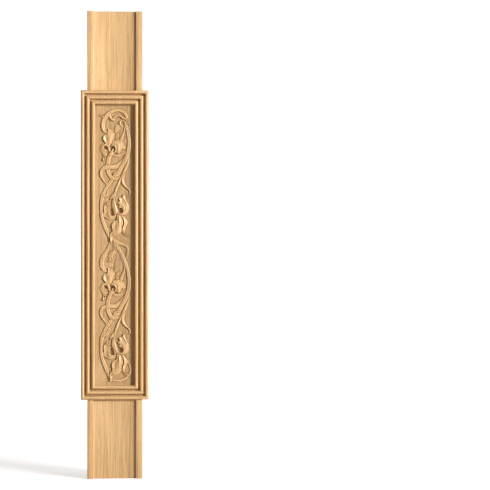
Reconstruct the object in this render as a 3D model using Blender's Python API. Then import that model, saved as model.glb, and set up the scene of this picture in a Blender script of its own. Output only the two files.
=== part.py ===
# Flat carved baluster for a stair or gallery rail, in oak.
# One glued-up blank: a reeded frame round a sunk field carved with two climbing irises,
# and a recessed board at each end that is let into the rail above and the shoe below.
# The front faces -Y, +Z is up, and the origin is the middle of the foot.

import math

import bmesh
import bpy
import numpy as np

# Whole baluster, metres
TOTAL_HEIGHT = 0.900
FRAME_WIDTH = 0.130
FRAME_HEIGHT = 0.595

# End boards: two flanges with a sunk channel between them, front and back
BOARD_WIDTH = 0.106
BOARD_THICKNESS = 0.036
FLANGE_WIDTH = 0.012
CORE_THICKNESS = 0.026

# Moulding of the frame: half-round reeds with square quirks between them
REED_COUNT = 3
REED_WIDTH = 0.0067
REED_RISE = 0.0040
QUIRK_WIDTH = 0.0034
QUIRK_DEPTH = 0.0045
FRAME_PROUD = 0.0015
REED_STEPS = 8

# Carving
RELIEF_HEIGHT = 0.0065
EDGE_RUN = 0.0009
GRID_STEP = 0.0008
RELIEF_TRIANGLES = 8200
POCKET_DEPTH = 0.004
WALL_GRIP = 0.001

# The carver's cartoon is drawn in millimetres on a field of this size
CARTOON_WIDTH = 76.4
CARTOON_HEIGHT = 541.4
CARTOON_RELIEF = 5.4
UPPER_IRIS = 456.7
LOWER_IRIS = 188.3

# Least heights and widths in the cartoon, and how finely its lines are followed
BARE_GROUND = 0.5
LOWEST_PETAL = 0.3
THINNEST_TIP = 0.05
HOLLOW_FLOOR = -2.8
BLADE_STEPS = 6
OUTLINE_STEPS = 5

# Worked out
MOULDING_WIDTH = REED_COUNT * REED_WIDTH + (REED_COUNT - 1) * QUIRK_WIDTH
FIELD_WIDTH = FRAME_WIDTH - 2 * MOULDING_WIDTH
FIELD_HEIGHT = FRAME_HEIGHT - 2 * MOULDING_WIDTH
FRAME_HALF_THICKNESS = BOARD_THICKNESS / 2 + FRAME_PROUD
CORE_HALF = CORE_THICKNESS / 2
FRAME_CENTRE = TOTAL_HEIGHT / 2
FRAME_BOTTOM = FRAME_CENTRE - FRAME_HEIGHT / 2
FRAME_TOP = FRAME_CENTRE + FRAME_HEIGHT / 2
FIELD_BOTTOM = FRAME_BOTTOM + MOULDING_WIDTH
CHANNEL_WIDTH = BOARD_WIDTH - 2 * FLANGE_WIDTH
BOARD_GRIP = 0.7 * REED_WIDTH

for old in list(bpy.data.objects):
    bpy.data.objects.remove(old, do_unlink=True)


def new_object(name, bm):
    """Puts a finished mesh into the scene as one object."""
    bmesh.ops.recalc_face_normals(bm, faces=bm.faces)
    mesh = bpy.data.meshes.new(name)
    bm.to_mesh(mesh)
    bm.free()
    obj = bpy.data.objects.new(name, mesh)
    bpy.context.collection.objects.link(obj)
    return obj


def apply_modifiers(obj):
    """Leaves the object with the mesh that its modifiers make."""
    graph = bpy.context.evaluated_depsgraph_get()
    mesh = bpy.data.meshes.new_from_object(obj.evaluated_get(graph))
    obj.modifiers.clear()
    obj.data = mesh


def unite(body, tool):
    """Joins a second solid to the body and removes the second."""
    union = body.modifiers.new("union", "BOOLEAN")
    union.operation = "UNION"
    union.solver = "EXACT"
    union.object = tool
    apply_modifiers(body)
    bpy.data.objects.remove(tool, do_unlink=True)


# Frame


def moulding_profile():
    """The moulding from the outer edge inwards: distance in from the edge, height above the springing."""
    points = []
    for reed in range(REED_COUNT):
        start = reed * (REED_WIDTH + QUIRK_WIDTH)
        if reed:
            points.append((start, -QUIRK_DEPTH))
        for step in range(REED_STEPS + 1):
            angle = math.pi * step / REED_STEPS
            points.append((start + REED_WIDTH / 2 * (1 - math.cos(angle)), REED_RISE * math.sin(angle)))
        if reed < REED_COUNT - 1:
            points.append((start + REED_WIDTH, -QUIRK_DEPTH))
    return points


def rectangle(bm, inset, y):
    """A ring of four corners round the frame's centre, at one depth."""
    half_width = FRAME_WIDTH / 2 - inset
    half_height = FRAME_HEIGHT / 2 - inset
    corners = ((-1, -1), (1, -1), (1, 1), (-1, 1))
    return [bm.verts.new((sx * half_width, y, FRAME_CENTRE + sz * half_height)) for sx, sz in corners]


def join_rings(bm, first, second):
    """A band of four faces, mitred at the corners."""
    for i in range(4):
        j = (i + 1) % 4
        bm.faces.new((first[i], first[j], second[j], second[i]))


def frame_block():
    """The reeded frame as a closed block with a pocket at the front and a plain sunk field at the back."""
    bm = bmesh.new()
    rings = []
    for side, floor in ((1, CORE_HALF), (-1, CORE_HALF - POCKET_DEPTH)):
        face = [rectangle(bm, inset, side * (FRAME_HALF_THICKNESS + rise))
                for inset, rise in moulding_profile()]
        face.append(rectangle(bm, MOULDING_WIDTH, side * floor))
        rings.append(face)
    back, front = rings
    for face in rings:
        for first, second in zip(face[:-1], face[1:]):
            join_rings(bm, first, second)
        bm.faces.new(face[-1])
    join_rings(bm, back[0], front[0])
    return new_object("baluster", bm)


# End boards


def end_board(name, bottom, top):
    """A board with a channel down the middle of both faces."""
    outer = BOARD_WIDTH / 2
    inner = CHANNEL_WIDTH / 2
    face = BOARD_THICKNESS / 2
    section = [(-outer, -face), (-inner, -face), (-inner, -CORE_HALF), (inner, -CORE_HALF), (inner, -face),
               (outer, -face), (outer, face), (inner, face), (inner, CORE_HALF), (-inner, CORE_HALF),
               (-inner, face), (-outer, face)]
    bm = bmesh.new()
    low = [bm.verts.new((x, y, bottom)) for x, y in section]
    high = [bm.verts.new((x, y, top)) for x, y in section]
    for i in range(len(section)):
        j = (i + 1) % len(section)
        bm.faces.new((low[i], low[j], high[j], high[i]))
    bm.faces.new(low)
    bm.faces.new(high)
    return new_object(name, bm)


# Carving


def smooth_path(stations, steps, closed=False):
    """A smooth line through the stations, with any width and height carried along it."""
    p = np.array(stations, float)
    p = np.vstack([p[-1], p, p[:2]]) if closed else np.vstack([2 * p[0] - p[1], p, 2 * p[-1] - p[-2]])
    gaps = np.sqrt(np.hypot(np.diff(p[:, 0]), np.diff(p[:, 1])))
    knots = np.concatenate([[0.0], np.cumsum(gaps)])[:, None]
    rows = []
    for i in range(1, len(p) - 2):
        k0, k1, k2, k3 = knots[i - 1:i + 3]
        k = np.linspace(k1, k2, steps, endpoint=False)
        a1 = (k1 - k) / (k1 - k0) * p[i - 1] + (k - k0) / (k1 - k0) * p[i]
        a2 = (k2 - k) / (k2 - k1) * p[i] + (k - k1) / (k2 - k1) * p[i + 1]
        a3 = (k3 - k) / (k3 - k2) * p[i + 1] + (k - k2) / (k3 - k2) * p[i + 2]
        b1 = (k2 - k) / (k2 - k0) * a1 + (k - k0) / (k2 - k0) * a2
        b2 = (k3 - k) / (k3 - k1) * a2 + (k - k1) / (k3 - k1) * a3
        rows.append((k2 - k) / (k2 - k1) * b1 + (k - k1) / (k2 - k1) * b2)
    rows.append(p[-2:-1])
    return np.vstack(rows)


def measure_from(path, u, t):
    """Distance of each point from the line, its side (positive to the right of travel) and its share
    of the run."""
    start = path[:-1, :2]
    step = path[1:, :2] - start
    length = np.maximum(np.hypot(step[:, 0], step[:, 1]), 1e-6)
    run = np.concatenate([[0.0], np.cumsum(length)])
    nearest = np.full(u.shape, 1e9)
    side = np.ones(u.shape)
    share = np.zeros(u.shape)
    for i in range(len(start)):
        pu = u - start[i, 0]
        pt = t - start[i, 1]
        along = np.clip((pu * step[i, 0] + pt * step[i, 1]) / length[i] ** 2, 0, 1)
        distance = np.hypot(pu - along * step[i, 0], pt - along * step[i, 1])
        closer = distance < nearest
        nearest = np.where(closer, distance, nearest)
        side = np.where(closer, np.where(pu * step[i, 1] < pt * step[i, 0], -1, 1), side)
        share = np.where(closer, (run[i] + along * length[i]) / run[-1], share)
    return nearest, side, share


def is_inside(path, u, t):
    """Whether each point lies inside the closed line."""
    inside = np.zeros(u.shape, bool)
    for (u0, t0), (u1, t1) in zip(path[:-1], path[1:]):
        if t0 != t1:
            inside ^= ((t0 > t) != (t1 > t)) & (u < u0 + (u1 - u0) * (t - t0) / (t1 - t0))
    return inside


def smooth_surface(marks, u, t):
    """The smooth surface that passes through the carver's depth marks, as a thin sheet would bend."""
    m = np.array(marks, float)
    count = len(m)

    def bend(du, dt):
        square = du * du + dt * dt
        return square * np.log(square + 1e-9)

    flat = np.column_stack([np.ones(count), m[:, :2]])
    system = np.block([[bend(m[:, :1] - m[:, 0], m[:, 1:2] - m[:, 1]), flat], [flat.T, np.zeros((3, 3))]])
    weights = np.linalg.solve(system, np.append(m[:, 2], [0, 0, 0]))
    height = weights[-3] + weights[-2] * u + weights[-1] * t
    for mark, weight in zip(m, weights):
        height = height + weight * bend(u - mark[0], t - mark[1])
    return height


class Field:
    """The sunk field as a grid of heights, in the cartoon's millimetres."""

    def __init__(self):
        margin_u = WALL_GRIP * CARTOON_WIDTH / FIELD_WIDTH
        margin_t = WALL_GRIP * CARTOON_HEIGHT / FIELD_HEIGHT
        columns = round(FIELD_WIDTH / GRID_STEP)
        rows = round(FIELD_HEIGHT / GRID_STEP)
        self.u = np.linspace(-CARTOON_WIDTH / 2 - margin_u, CARTOON_WIDTH / 2 + margin_u, columns)
        self.t = np.linspace(-margin_t, CARTOON_HEIGHT + margin_t, rows)
        self.height = np.zeros((rows, columns))
        self.edge_run = EDGE_RUN * CARTOON_WIDTH / FIELD_WIDTH
        self.origin = 0.0

    def window(self, path, reach):
        """The part of the grid round a line, measured from the motif's origin."""
        low = self.origin + path[:, 1].min() - reach
        high = self.origin + path[:, 1].max() + reach
        rows = slice(*np.searchsorted(self.t, (low, high)))
        columns = slice(*np.searchsorted(self.u, (path[:, 0].min() - reach, path[:, 0].max() + reach)))
        u, t = np.meshgrid(self.u[columns], self.t[rows] - self.origin)
        return rows, columns, u, t

    def shoulder(self, distance):
        """How far a form has risen to its full height, this far in from its edge."""
        run = np.clip(distance / self.edge_run, 0, 1)
        return np.sqrt(1 - (1 - run) ** 2)

    def blade(self, stations, profile=(0.6, 1.0, 0.6), crest=0.0, grooves=(), merge=False):
        """Carves one stem, ribbon or tendril over what is there. Stations give its centre line, half width
        and height; profile is the height at the left edge, the crest and the right edge; grooves are
        (place, depth, width) across it; merge lets it grow out of another."""
        path = smooth_path(stations, BLADE_STEPS)
        path[:, 2] = np.maximum(path[:, 2], THINNEST_TIP)
        rows, columns, u, t = self.window(path, path[:, 2].max() + 1)
        distance, side, share = measure_from(path, u, t)
        run = np.concatenate([[0.0], np.cumsum(np.hypot(np.diff(path[:, 0]), np.diff(path[:, 1])))])
        half = np.interp(share, run / run[-1], path[:, 2])
        crown = np.interp(share, run / run[-1], path[:, 3])
        v = np.clip(side * distance / half, -1, 1)
        left, top, right = profile
        fall = np.where(v < crest, (crest - v) / (crest + 1), (v - crest) / (1 - crest)) ** 2
        shape = top + (np.where(v < crest, left, right) - top) * fall
        for place, depth, width in grooves:
            shape = shape - depth / crown * np.exp(-((v - place) / width) ** 2)
        old = self.height[rows, columns]
        new = old + (crown * shape - old) * self.shoulder(half - distance)
        if merge:
            new = np.maximum(old, new)
        self.height[rows, columns] = np.where(distance < half, new, old)

    def petal(self, outline, marks, veins=()):
        """Carves one petal or leaf over what is there. Marks are (across, up, height); veins are (line,
        rise, width), and a groove's rise is below nothing."""
        path = smooth_path(outline, OUTLINE_STEPS, closed=True)
        rows, columns, u, t = self.window(path, 1)
        distance, _, _ = measure_from(path, u, t)
        height = smooth_surface(marks, u, t)
        for line, rise, width in veins:
            gap, _, _ = measure_from(smooth_path(line, OUTLINE_STEPS), u, t)
            height = height + rise * np.exp(-(gap / width) ** 2)
        old = self.height[rows, columns]
        new = old + (np.maximum(height, LOWEST_PETAL) - old) * self.shoulder(distance)
        self.height[rows, columns] = np.where(is_inside(path, u, t), new, old)

    def hollow(self, centre, radii, floor):
        """Sinks the bare ground inside an oval, and leaves the petals round it."""
        limits = np.array([np.subtract(centre, radii), np.add(centre, radii)])
        rows, columns, u, t = self.window(limits, 0)
        reach = np.hypot((u - centre[0]) / radii[0], (t - centre[1]) / radii[1])
        share = np.clip((1 - reach) * min(radii) / self.edge_run, 0, 1)
        old = self.height[rows, columns]
        self.height[rows, columns] = np.where(old < BARE_GROUND, old + (floor - old) * share, old)


# The shallow groove along a stem: place across it, depth and width
FLUTE = ((0.1, 0.5, 0.3),)

# The flower stem and its loop: centre line, half width and height
STEM = [(-0.6, 2.6, 1.3, 0.8), (-3, -1.8, 1.8, 1.5), (-5.6, -6.8, 2.6, 2.2), (-7.9, -11.5, 3.8, 2.4),
        (-10, -16.5, 4.1, 2.3), (-11.8, -21.5, 4, 2.2), (-12.9, -27, 4, 2), (-13.4, -33, 3.9, 1.8),
        (-13.1, -43, 3.8, 1.9)]
LOOP = [(-13.1, -43, 3.8, 1.9), (-12.2, -47, 3.75, 2), (-10.6, -50.5, 3.7, 2.1), (-7.3, -55.5, 3.6, 2.3),
        (-3, -58.5, 3.2, 2.7), (2, -59.1, 2.9, 3), (6.2, -57.2, 2.2, 3), (8.6, -53.8, 1.3, 2.8),
        (9.1, -50.3, 0.6, 2.4)]


def carve_iris(field, origin, first, last):
    """One iris of the climbing row; the first has the scroll at its top, the last the closing leaf."""
    field.origin = origin
    blade = field.blade
    petal = field.petal

    # Strand at the right, then the hooked leaf that leaves it
    blade([(27.3, -14, 1.4, 1.5), (26.3, -24, 2, 1.7), (21.8, -37, 2.9, 2), (12.2, -56, 1.8, 1.9),
           (6.7, -70, 2.5, 2.2), (2.6, -80, 2.4, 2.4), (0.1, -92, 1.6, 2.8)],
          profile=(0.55, 1, 0.8), crest=0.3)
    petal([(20.6, -45.5), (13.5, -56), (15, -69.5), (27.5, -82), (27.5, -87), (24.9, -89.4), (26.5, -90),
           (29, -89.2), (30.7, -86.8), (30.3, -81), (22, -70), (18.9, -60)],
          [(15.2, -55.5, 2.3), (22.5, -74.5, 2.2), (23, -72.3, 1.6), (27.3, -79, 2.2), (26, -89.2, 1.8)])
    # Flower stem, the part above the ribbon
    blade(STEM, profile=(0.8, 1, 0.7), grooves=FLUTE)
    # Crescent band between the flower and the long stem
    blade([(-4.5, -13.3, 1.4, 1.2), (1, -13.9, 2.3, 1.7), (7, -14, 2.4, 1.7), (12.5, -12.9, 2.3, 1.7),
           (17, -10.6, 2, 1.6), (21, -7, 1.5, 1.4)], profile=(0.9, 1, 0.8), merge=True)
    # Ribbon over the flower stem
    blade([(18.2, -13.5, 0.4, 2), (15.6, -20, 1.6, 2.3), (8.3, -30.8, 4, 2.7), (3.5, -34.5, 4.6, 2.8),
           (-2, -35.8, 4.1, 2.9), (-14, -35.8, 4.1, 2.9), (-19.5, -37.3, 4, 2.6), (-23.8, -41, 3.7, 2.4),
           (-25.8, -46.5, 3.3, 2.3), (-25.4, -52, 3.2, 2.2), (-12.5, -71.5, 2.6, 1.5)],
          profile=(0.85, 1, 0.85))
    blade([(-21.5, -40.5, 0.4, 2.3), (-25, -45.5, 0.8, 1.9), (-25, -51, 0.9, 1.8), (-22.2, -57.3, 0.9, 1.7),
           (-14.8, -67.9, 0.5, 1.5)], profile=(1, 0.75, 1))

    if first:
        stalk = [(17, 52.5, 1, 2), (19.5, 48.5, 1.9, 2.2), (21, 44, 2.6, 2.4)]
        blade([(20.3, 45, 1.6, 2.3), (17.8, 32, 1.9, 2.4), (11.8, 16.5, 3.2, 2.4), (9, 10, 3.2, 2.2)],
              profile=(0.7, 1, 0.7), grooves=FLUTE)
    else:
        stalk = [(1, 89.5, 1, 1.6), (7.6, 75.5, 3, 2.1), (11.8, 69, 3, 2.2), (18.5, 55, 3.1, 2.4),
                 (20.8, 48, 3.5, 2.4)]
        blade([(2.8, 77, 0.8, 1), (9.8, 65, 1.3, 1.2), (15, 51, 1.3, 1.2), (16.6, 43, 1, 1),
               (17, 37, 0.5, 0.8)], profile=(0.8, 1, 1))
        blade([(19, 48, 1.8, 2.3), (19.2, 41, 1.5, 2.3), (18.2, 34, 1.7, 2.4), (12, 17, 3.2, 2.4),
               (9, 10, 3.2, 2.2)], profile=(0.7, 1, 0.7), grooves=FLUTE)
    # Long stem that sweeps from side to side
    blade(stalk + [(22.8, 42, 2.8, 2.4), (24.4, 36, 2.9, 2.4), (27.7, 12, 3.5, 2.5), (26.4, -4, 3.9, 2.7),
                   (18.2, -26.5, 4.1, 2.9), (7.2, -45.5, 4.1, 2.5), (2.6, -51.5, 4.9, 2.3),
                   (-7.5, -63, 3.4, 2), (-23.2, -92, 3.5, 2.2), (-26.1, -110, 2.7, 2.2),
                   (-25.3, -129, 2.8, 2.2), (-19.3, -149.5, 3.5, 2.2), (-15.3, -159, 3.4, 2.1),
                   (-13, -167, 1.9, 2), (-11.4, -177, 1, 1.7)],
                  profile=(0.8, 1, 0.7), crest=-0.2, grooves=FLUTE)
    # Gap between the ribbon and the long stem
    blade([(18.6, -12.5, 0.2, 1.2), (16, -19.3, 0.6, 0.4), (12, -27.3, 0.8, 0.3), (8, -34.3, 0.8, 0.3),
           (4.6, -40, 0.4, 0.4)], profile=(1, 1, 1))
    # Hook tendril that curls off the long stem, and the flower stem's loop over it
    blade([(9.5, -46.6, 0.8, 2.9), (5, -46.4, 1.6, 3.1), (1.5, -46, 1.7, 3), (-0.8, -47, 1.4, 2.6),
           (-2.2, -49.6, 0.9, 2.2)], profile=(0.8, 1, 0.7))
    blade(LOOP, profile=(0.8, 1, 0.7), grooves=FLUTE)

    # Sheath of the flower stem at the throat
    petal([(-10, -8.6), (-8.3, -5.6), (-6.2, -5.3), (-4.3, -7), (-2, -7.3), (0.8, -6.8), (-0.5, -9),
           (-2.8, -11.6), (-4.5, -14.2), (-8.5, -15.8), (-11.5, -12.4)],
          [(-9, -8, 2.7), (-6.6, -6.6, 3.1), (-4.4, -8.6, 3.2), (0, -7.4, 2.8), (-3.4, -11.6, 2.6),
           (-8.4, -12.6, 2.7), (-6.2, -14.4, 2.5)])

    # Side flower: curled petal with its drop, standard, and the fall round the throat
    petal([(-16, 8), (-24.4, 7.8), (-28.8, 1.3), (-27.8, -4.8), (-24.1, -9.7), (-23.4, -14.6),
           (-22.2, -16.4), (-20.8, -15.6), (-17.8, -17.6), (-16.6, -14.6), (-14.7, -10.8), (-16.7, -7.4),
           (-16.5, -5.9), (-15.6, -4.8), (-15.6, -3.3), (-16.8, -2.2), (-21, -1), (-21.8, 2.6), (-18, 4.8),
           (-15.5, 4.6)],
          [(-19, 7.3, 2.2), (-22.8, 5.5, 2.3), (-16.6, -4, 2.3), (-25.5, 6, 1.3), (-17.5, -15.5, 2.6),
           (-20.8, -14.4, 2)])
    blade([(-21.3, -16.6, 0.6, 1.8), (-21.8, -19.2, 1.3, 2.6), (-22.1, -22, 1.9, 3.2),
           (-22.3, -24, 1.5, 2.8), (-22.4, -25.4, 0.5, 2)], profile=(0.6, 1, 0.5))
    petal([(-13.9, 37.2), (-11.5, 38.2), (-9.2, 37.6), (-7.6, 36.4), (-5.4, 36.9), (-3.7, 36.1),
           (-2.9, 33.6), (-2.7, 31), (-0.1, 29.6), (-0.2, 25.9), (1, 23.8), (1, 21.5), (-1, 18.8),
           (-0.4, 17.4), (-3.7, 14.6), (-4.8, 12.7), (-5.9, 8.5), (-9.1, 4.7), (-8.7, 2), (-8.2, -4.5),
           (-9.2, -8), (-10.7, -7.2), (-14.2, 2.9), (-15.7, 4.9), (-19.8, 12.7), (-21.9, 15.7),
           (-22.7, 18.8), (-21.4, 24.3), (-13.2, 30.8), (-12.7, 33.6)],
          [(-13, 36.6, 2.9), (-9.5, 36.8, 2.3), (-5, 35.5, 3), (-1.2, 28, 2.9), (0, 23.7, 2.9),
           (-2, 20.5, 1.8), (-1.2, 18.2, 2.9), (-4, 15.5, 2.7), (-8.5, 5.5, 2.2), (-21.5, 20, 2.9),
           (-20.5, 25, 2.3), (-17, 27.2, 1.9), (-17.5, 20, 1.9), (-16.5, 14, 1.9), (-19, 13.5, 2.5),
           (-13.3, 31, 3.2), (-14, 26, 3.2), (-9, 28, 3.2), (-5, 25, 3.5), (-10.5, 17, 3.4), (-12.7, 11, 3),
           (-15, 7, 2.3), (-12.5, 2, 2.4), (-9.8, -6.5, 1.8)])
    petal([(-4.1, 13.5), (8.3, 15.2), (13.6, 12.4), (17.4, 10), (17.7, 7.8), (20.5, 3.2), (20.4, -0.6),
           (13.4, -3.7), (11.7, -8), (10.5, -8), (9.4, -10.4), (7.5, -11), (2.2, -8.6), (0.3, -8.2),
           (-1, -6.4), (-0.5, -4.7), (1, -3.2), (1.4, -1.2), (-1.3, 3.5), (-6.4, 3.6), (-7.2, 4.6),
           (-5.2, 9)],
          [(-3, 13, 2.7), (9, 14.2, 3.2), (19.8, 2, 3.2), (19.6, -0.3, 3.3), (13, -3.6, 3.1),
           (3.5, -8.3, 2.5), (0, -7.4, 2.7), (1, 10, 4), (7.3, 3, 4.8), (7.5, -3, 4.4), (6.3, -8, 3.3),
           (11, 5, 4.2), (14.8, 5, 4), (4, 0, 4.1)])

    # Leaves over the side flower
    petal([(0.3, 16.5), (1.3, 20), (1.3, 24), (4.3, 29.6), (10.2, 30.8), (10.4, 29.5), (8.6, 28.2),
           (7.1, 22), (7.9, 15.9), (4, 15.7)],
          [(2, 19, 0.9), (9.5, 30.3, 1.5), (6, 25, 1.9), (5.9, 20, 2), (6.5, 16.5, 1.8), (3.8, 21, 1.1)])
    if first:
        petal([(0.3, 30), (-0.3, 40), (1.8, 44.6), (5, 46.8), (8.3, 45.4), (12.6, 38), (10, 37), (8, 33.5),
               (2.5, 29.3)],
              [(1, 32, 1.2), (0.5, 38, 1.2), (5, 38, 1.5), (10.5, 40.5, 1.8), (7, 34.5, 1.3)])
        # Scroll that closes the row at the top
        blade([(-2, 54.5, 2.4, 2.6), (-7, 57, 2.6, 2.8), (-9.3, 62.5, 2.2, 2.8), (-7, 68.5, 1.9, 2.8),
               (-1, 71.2, 1.5, 2.6)], profile=(0.7, 1, 0.7))
        blade([(-14.5, 31.5, 2.4, 1.8), (-18, 32.5, 3.2, 2), (-21.5, 37, 3.6, 2.2), (-22.8, 44, 3.6, 2.3),
               (-22, 51, 3.8, 2.3), (-19, 58, 4.2, 2.4), (-7, 70.5, 3.8, 2.6), (8, 73.3, 2.9, 2.6),
               (15, 71, 3, 2.6), (20.5, 66, 3, 2.5), (23, 59.5, 2.2, 2.3), (22, 54.5, 1, 2)],
              profile=(0.8, 1, 0.7), crest=-0.2, grooves=FLUTE)
        blade([(-3.5, 57.5, 1.6, 2.8), (0, 61, 2, 3), (5.5, 63.2, 1.9, 3), (11, 62, 1.9, 3),
               (15.5, 58.5, 2.2, 3), (20, 56.8, 1.8, 2.8)], profile=(0.55, 1, 0.55))
        blade([(12.5, 54, 1.2, 2.2), (10, 50.5, 1.9, 2.6), (10.3, 46, 2, 2.6), (13, 42.5, 1.5, 2.3)],
              profile=(0.55, 1, 0.55))
        blade([(28, 46.5, 0.8, 1.8), (27.8, 43.5, 1.5, 2.1), (26.2, 40, 1.5, 2.2), (26.8, 36, 1.2, 2.1),
               (29, 33, 0.8, 1.8)], profile=(0.55, 1, 0.55))
        blade([(-30, 64.2, 0.6, 1.6), (-23, 61, 1.6, 2.1), (-20.5, 59, 1.2, 2.1)], profile=(0.55, 1, 0.55))
    else:
        petal([(-1.7, 40), (-0.6, 49.5), (4.5, 55), (9.2, 54.6), (8.8, 53.4), (6.5, 52.9), (4.6, 51.2),
               (3.9, 48.5), (5.6, 37.5), (5, 34), (0.5, 29.8), (-1.6, 31)],
              [(-1, 37, 0.9), (8.5, 54.5, 1.7), (3.2, 47, 2), (3.8, 42, 2), (0.5, 32, 1.2), (1.2, 42, 1.1)])
        # Stem and leaves that hang from the flower above
        blade([(-10.7, 90, 0.7, 1.5), (-11.4, 82, 1.7, 1.9), (-13, 76, 2.5, 2), (-23.7, 55, 4.4, 2.3),
               (-25, 48, 4.4, 2.3), (-24.2, 41.5, 4.1, 2.2), (-21.5, 35.7, 3.7, 2.1), (-17.5, 32.2, 3, 2),
               (-14.6, 32, 1.8, 1.7)], profile=(0.8, 1, 0.7), crest=-0.3, grooves=FLUTE)
        petal([(-2.6, 88.5), (-0.8, 88), (3.2, 76), (2.4, 67), (-5.5, 53.5), (-6.2, 51.3), (-10.5, 49.8),
               (-14.6, 51), (-11.6, 53), (-12.4, 56), (-13.3, 62.3), (-9.3, 67.8), (-6.2, 69.6),
               (-4.4, 72.3), (-3.2, 80)],
              [(1.4, 80, 2.5), (2.3, 74, 2.8), (-1.8, 74, 1.4), (-6.5, 67.5, 2.4), (-11, 62, 1.3),
               (-10, 54, 1.6), (-2, 62, 2.6), (-2.5, 59, 2.1), (-5.6, 56.5, 2.8), (-12.5, 51, 2.2)],
              veins=[([(-0.8, 77.5), (0.1, 73), (0.9, 68.5)], -1.1, 0.5),
                     ([(-1.5, 59.3), (-5, 58.8), (-7, 56.5), (-7.3, 51.5)], -1, 0.5)])
        blade([(-3.8, 93.5, 2, 1.8), (1.5, 89.7, 3.2, 2.1), (8, 86.1, 3.5, 2.2), (19.5, 82.3, 2.8, 2.2),
               (23.7, 78.6, 2.7, 2.2), (25.1, 73, 2.4, 2.2), (24.8, 67.5, 2.3, 2.1), (23.6, 62, 1.9, 2),
               (23.5, 57, 1.6, 1.9), (25.3, 53.2, 1.3, 1.8), (28.8, 51.8, 0.6, 1.5)],
              profile=(0.75, 1, 0.75), grooves=FLUTE)

    # Bracts on the hanging flower's stem
    petal([(-10.4, -74.5), (-8.8, -77), (-9.1, -85.5), (-11, -90), (-14, -93), (-18, -94.7), (-21, -94.6),
           (-24.4, -92.6), (-19.5, -90.3), (-18.8, -89), (-12.6, -78)],
          [(-9.3, -82, 2.6), (-17.5, -93.5, 2.8), (-23, -92.7, 2.4), (-12.8, -81, 2.6), (-17.5, -88, 2.6)],
          veins=[([(-11, -76.5), (-12.4, -84), (-13.1, -87)], -0.8, 0.5),
                 ([(-14.3, -82), (-16, -85.6), (-17.5, -88.8)], -0.8, 0.45)])
    petal([(2.7, -83), (-3, -85.8), (-6.5, -90.6), (-9, -94.4), (-10, -98.9), (-8.8, -99.7), (-6.2, -97.2),
           (-2.6, -94.6), (0.4, -87.8)],
          [(-3.5, -88, 2), (-7.5, -93.8, 1.8), (-5, -95.3, 2.4), (-4.5, -91.5, 2.4), (-6.8, -95.6, 2.2)])

    # Hanging flower: right fall, right petal, left petal and its turned-over lip, calyx, front fall
    petal([(11.4, -128.6), (17.5, -130.7), (24.9, -141.7), (20.5, -155.4), (19.9, -160.6), (21.2, -162.8),
           (22, -164.5), (23.9, -165.3), (25.8, -166.8), (28.8, -168.4), (28.1, -169.9), (25.8, -170.6),
           (19.4, -169.1), (14.8, -163), (14.1, -157.3), (15.5, -150.1), (17.1, -146.7), (17.3, -140.2),
           (14.8, -134.5)],
          [(12.5, -130, 2.4), (17.5, -131.8, 2.6), (19, -134.5, 3.2), (22.5, -138, 2.4), (24, -143, 2.2),
           (20.5, -142, 3.2), (16, -153, 3.3), (20, -155, 2.2), (15.2, -157.5, 2.9), (15.3, -162.5, 1.5),
           (20.5, -163.5, 2.6), (25, -168, 2.6), (28, -168.7, 2.6), (26, -170, 1.7)])
    petal([(16.3, -88.2), (18.3, -88.3), (20.5, -87.9), (21.3, -97.3), (27, -108.3), (27.5, -120.5),
           (23.2, -126.9), (16.7, -129.6), (13, -128.6), (9.9, -128.2), (2.7, -125), (3.6, -121.5),
           (8, -124.2), (13.7, -124.4), (16.2, -120.1), (14.1, -115.5), (8, -114), (7.6, -111.7),
           (9.2, -110.4), (8.9, -108.9), (6.8, -107.5), (5.8, -106), (6.1, -104.1), (7.6, -102.6),
           (9.5, -101.6), (7.9, -98.8), (7.9, -96.5), (9.5, -95), (12.2, -94.4), (14.1, -93.1)],
          [(16.7, -89.2, 2.6), (20, -89, 2.8), (20.1, -95, 2.3), (16.3, -94, 3), (9, -96.5, 2.9),
           (12.5, -96, 2.1), (14, -99, 1.9), (17, -102, 2), (20, -106, 2.3), (19.5, -99.5, 3.2),
           (22.5, -104.5, 3.1), (24.5, -110, 3), (22, -99.2, 2.5), (26, -106.8, 2.3), (27.2, -113, 2.3),
           (18, -128.4, 2.1), (10, -127.3, 2.3), (8, -107.4, 2.7), (12, -104.5, 3), (16, -108, 3.3),
           (18.3, -112, 3.6), (14, -113, 2.6), (17.3, -117, 3.6), (14.7, -125.4, 3.1)])
    petal([(-11.8, -103.2), (-13.3, -102.7), (-16.3, -104.2), (-19.4, -109.1), (-21.1, -111.7),
           (-21.8, -117), (-20.7, -122.4), (-22.8, -125), (-21.3, -132.5), (-18.6, -133), (-11, -137.6),
           (0, -136), (2.3, -131.1), (3, -127.6), (-5.3, -130.1), (-9.3, -127.3), (-9.9, -124.3),
           (-8.2, -117.4), (-9.5, -112.5), (-13.4, -108.7), (-12.8, -105), (-11.6, -104.2)],
          [(-12.5, -103.6, 2.5), (-18.3, -108.2, 1.8), (-20.8, -112.5, 2.2), (-21.2, -117, 2.2),
           (-20.2, -121.5, 2.4), (-22, -126.5, 1.7), (-2, -135.6, 1.8), (-14.6, -108.5, 2.9),
           (-17, -111, 1.9), (-18.5, -117.5, 2.5), (-17, -122, 2.1), (-18, -127, 2.2)])
    petal([(-9, -118), (-14.3, -120.8), (-14.6, -123.2), (-13.6, -124.9), (-15.5, -127.2), (-15.3, -129.2),
           (-13.3, -130.4), (-11, -134), (-1, -132.4), (3, -127.4), (-5.3, -130), (-9.2, -127.3),
           (-9.8, -124.3), (-8.4, -119)],
          [(-10, -119.5, 2.9), (-14.3, -127.8, 3.2), (-11.5, -127, 3.8), (-9, -133.8, 2.6),
           (-1, -130.9, 2.7)])
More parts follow.
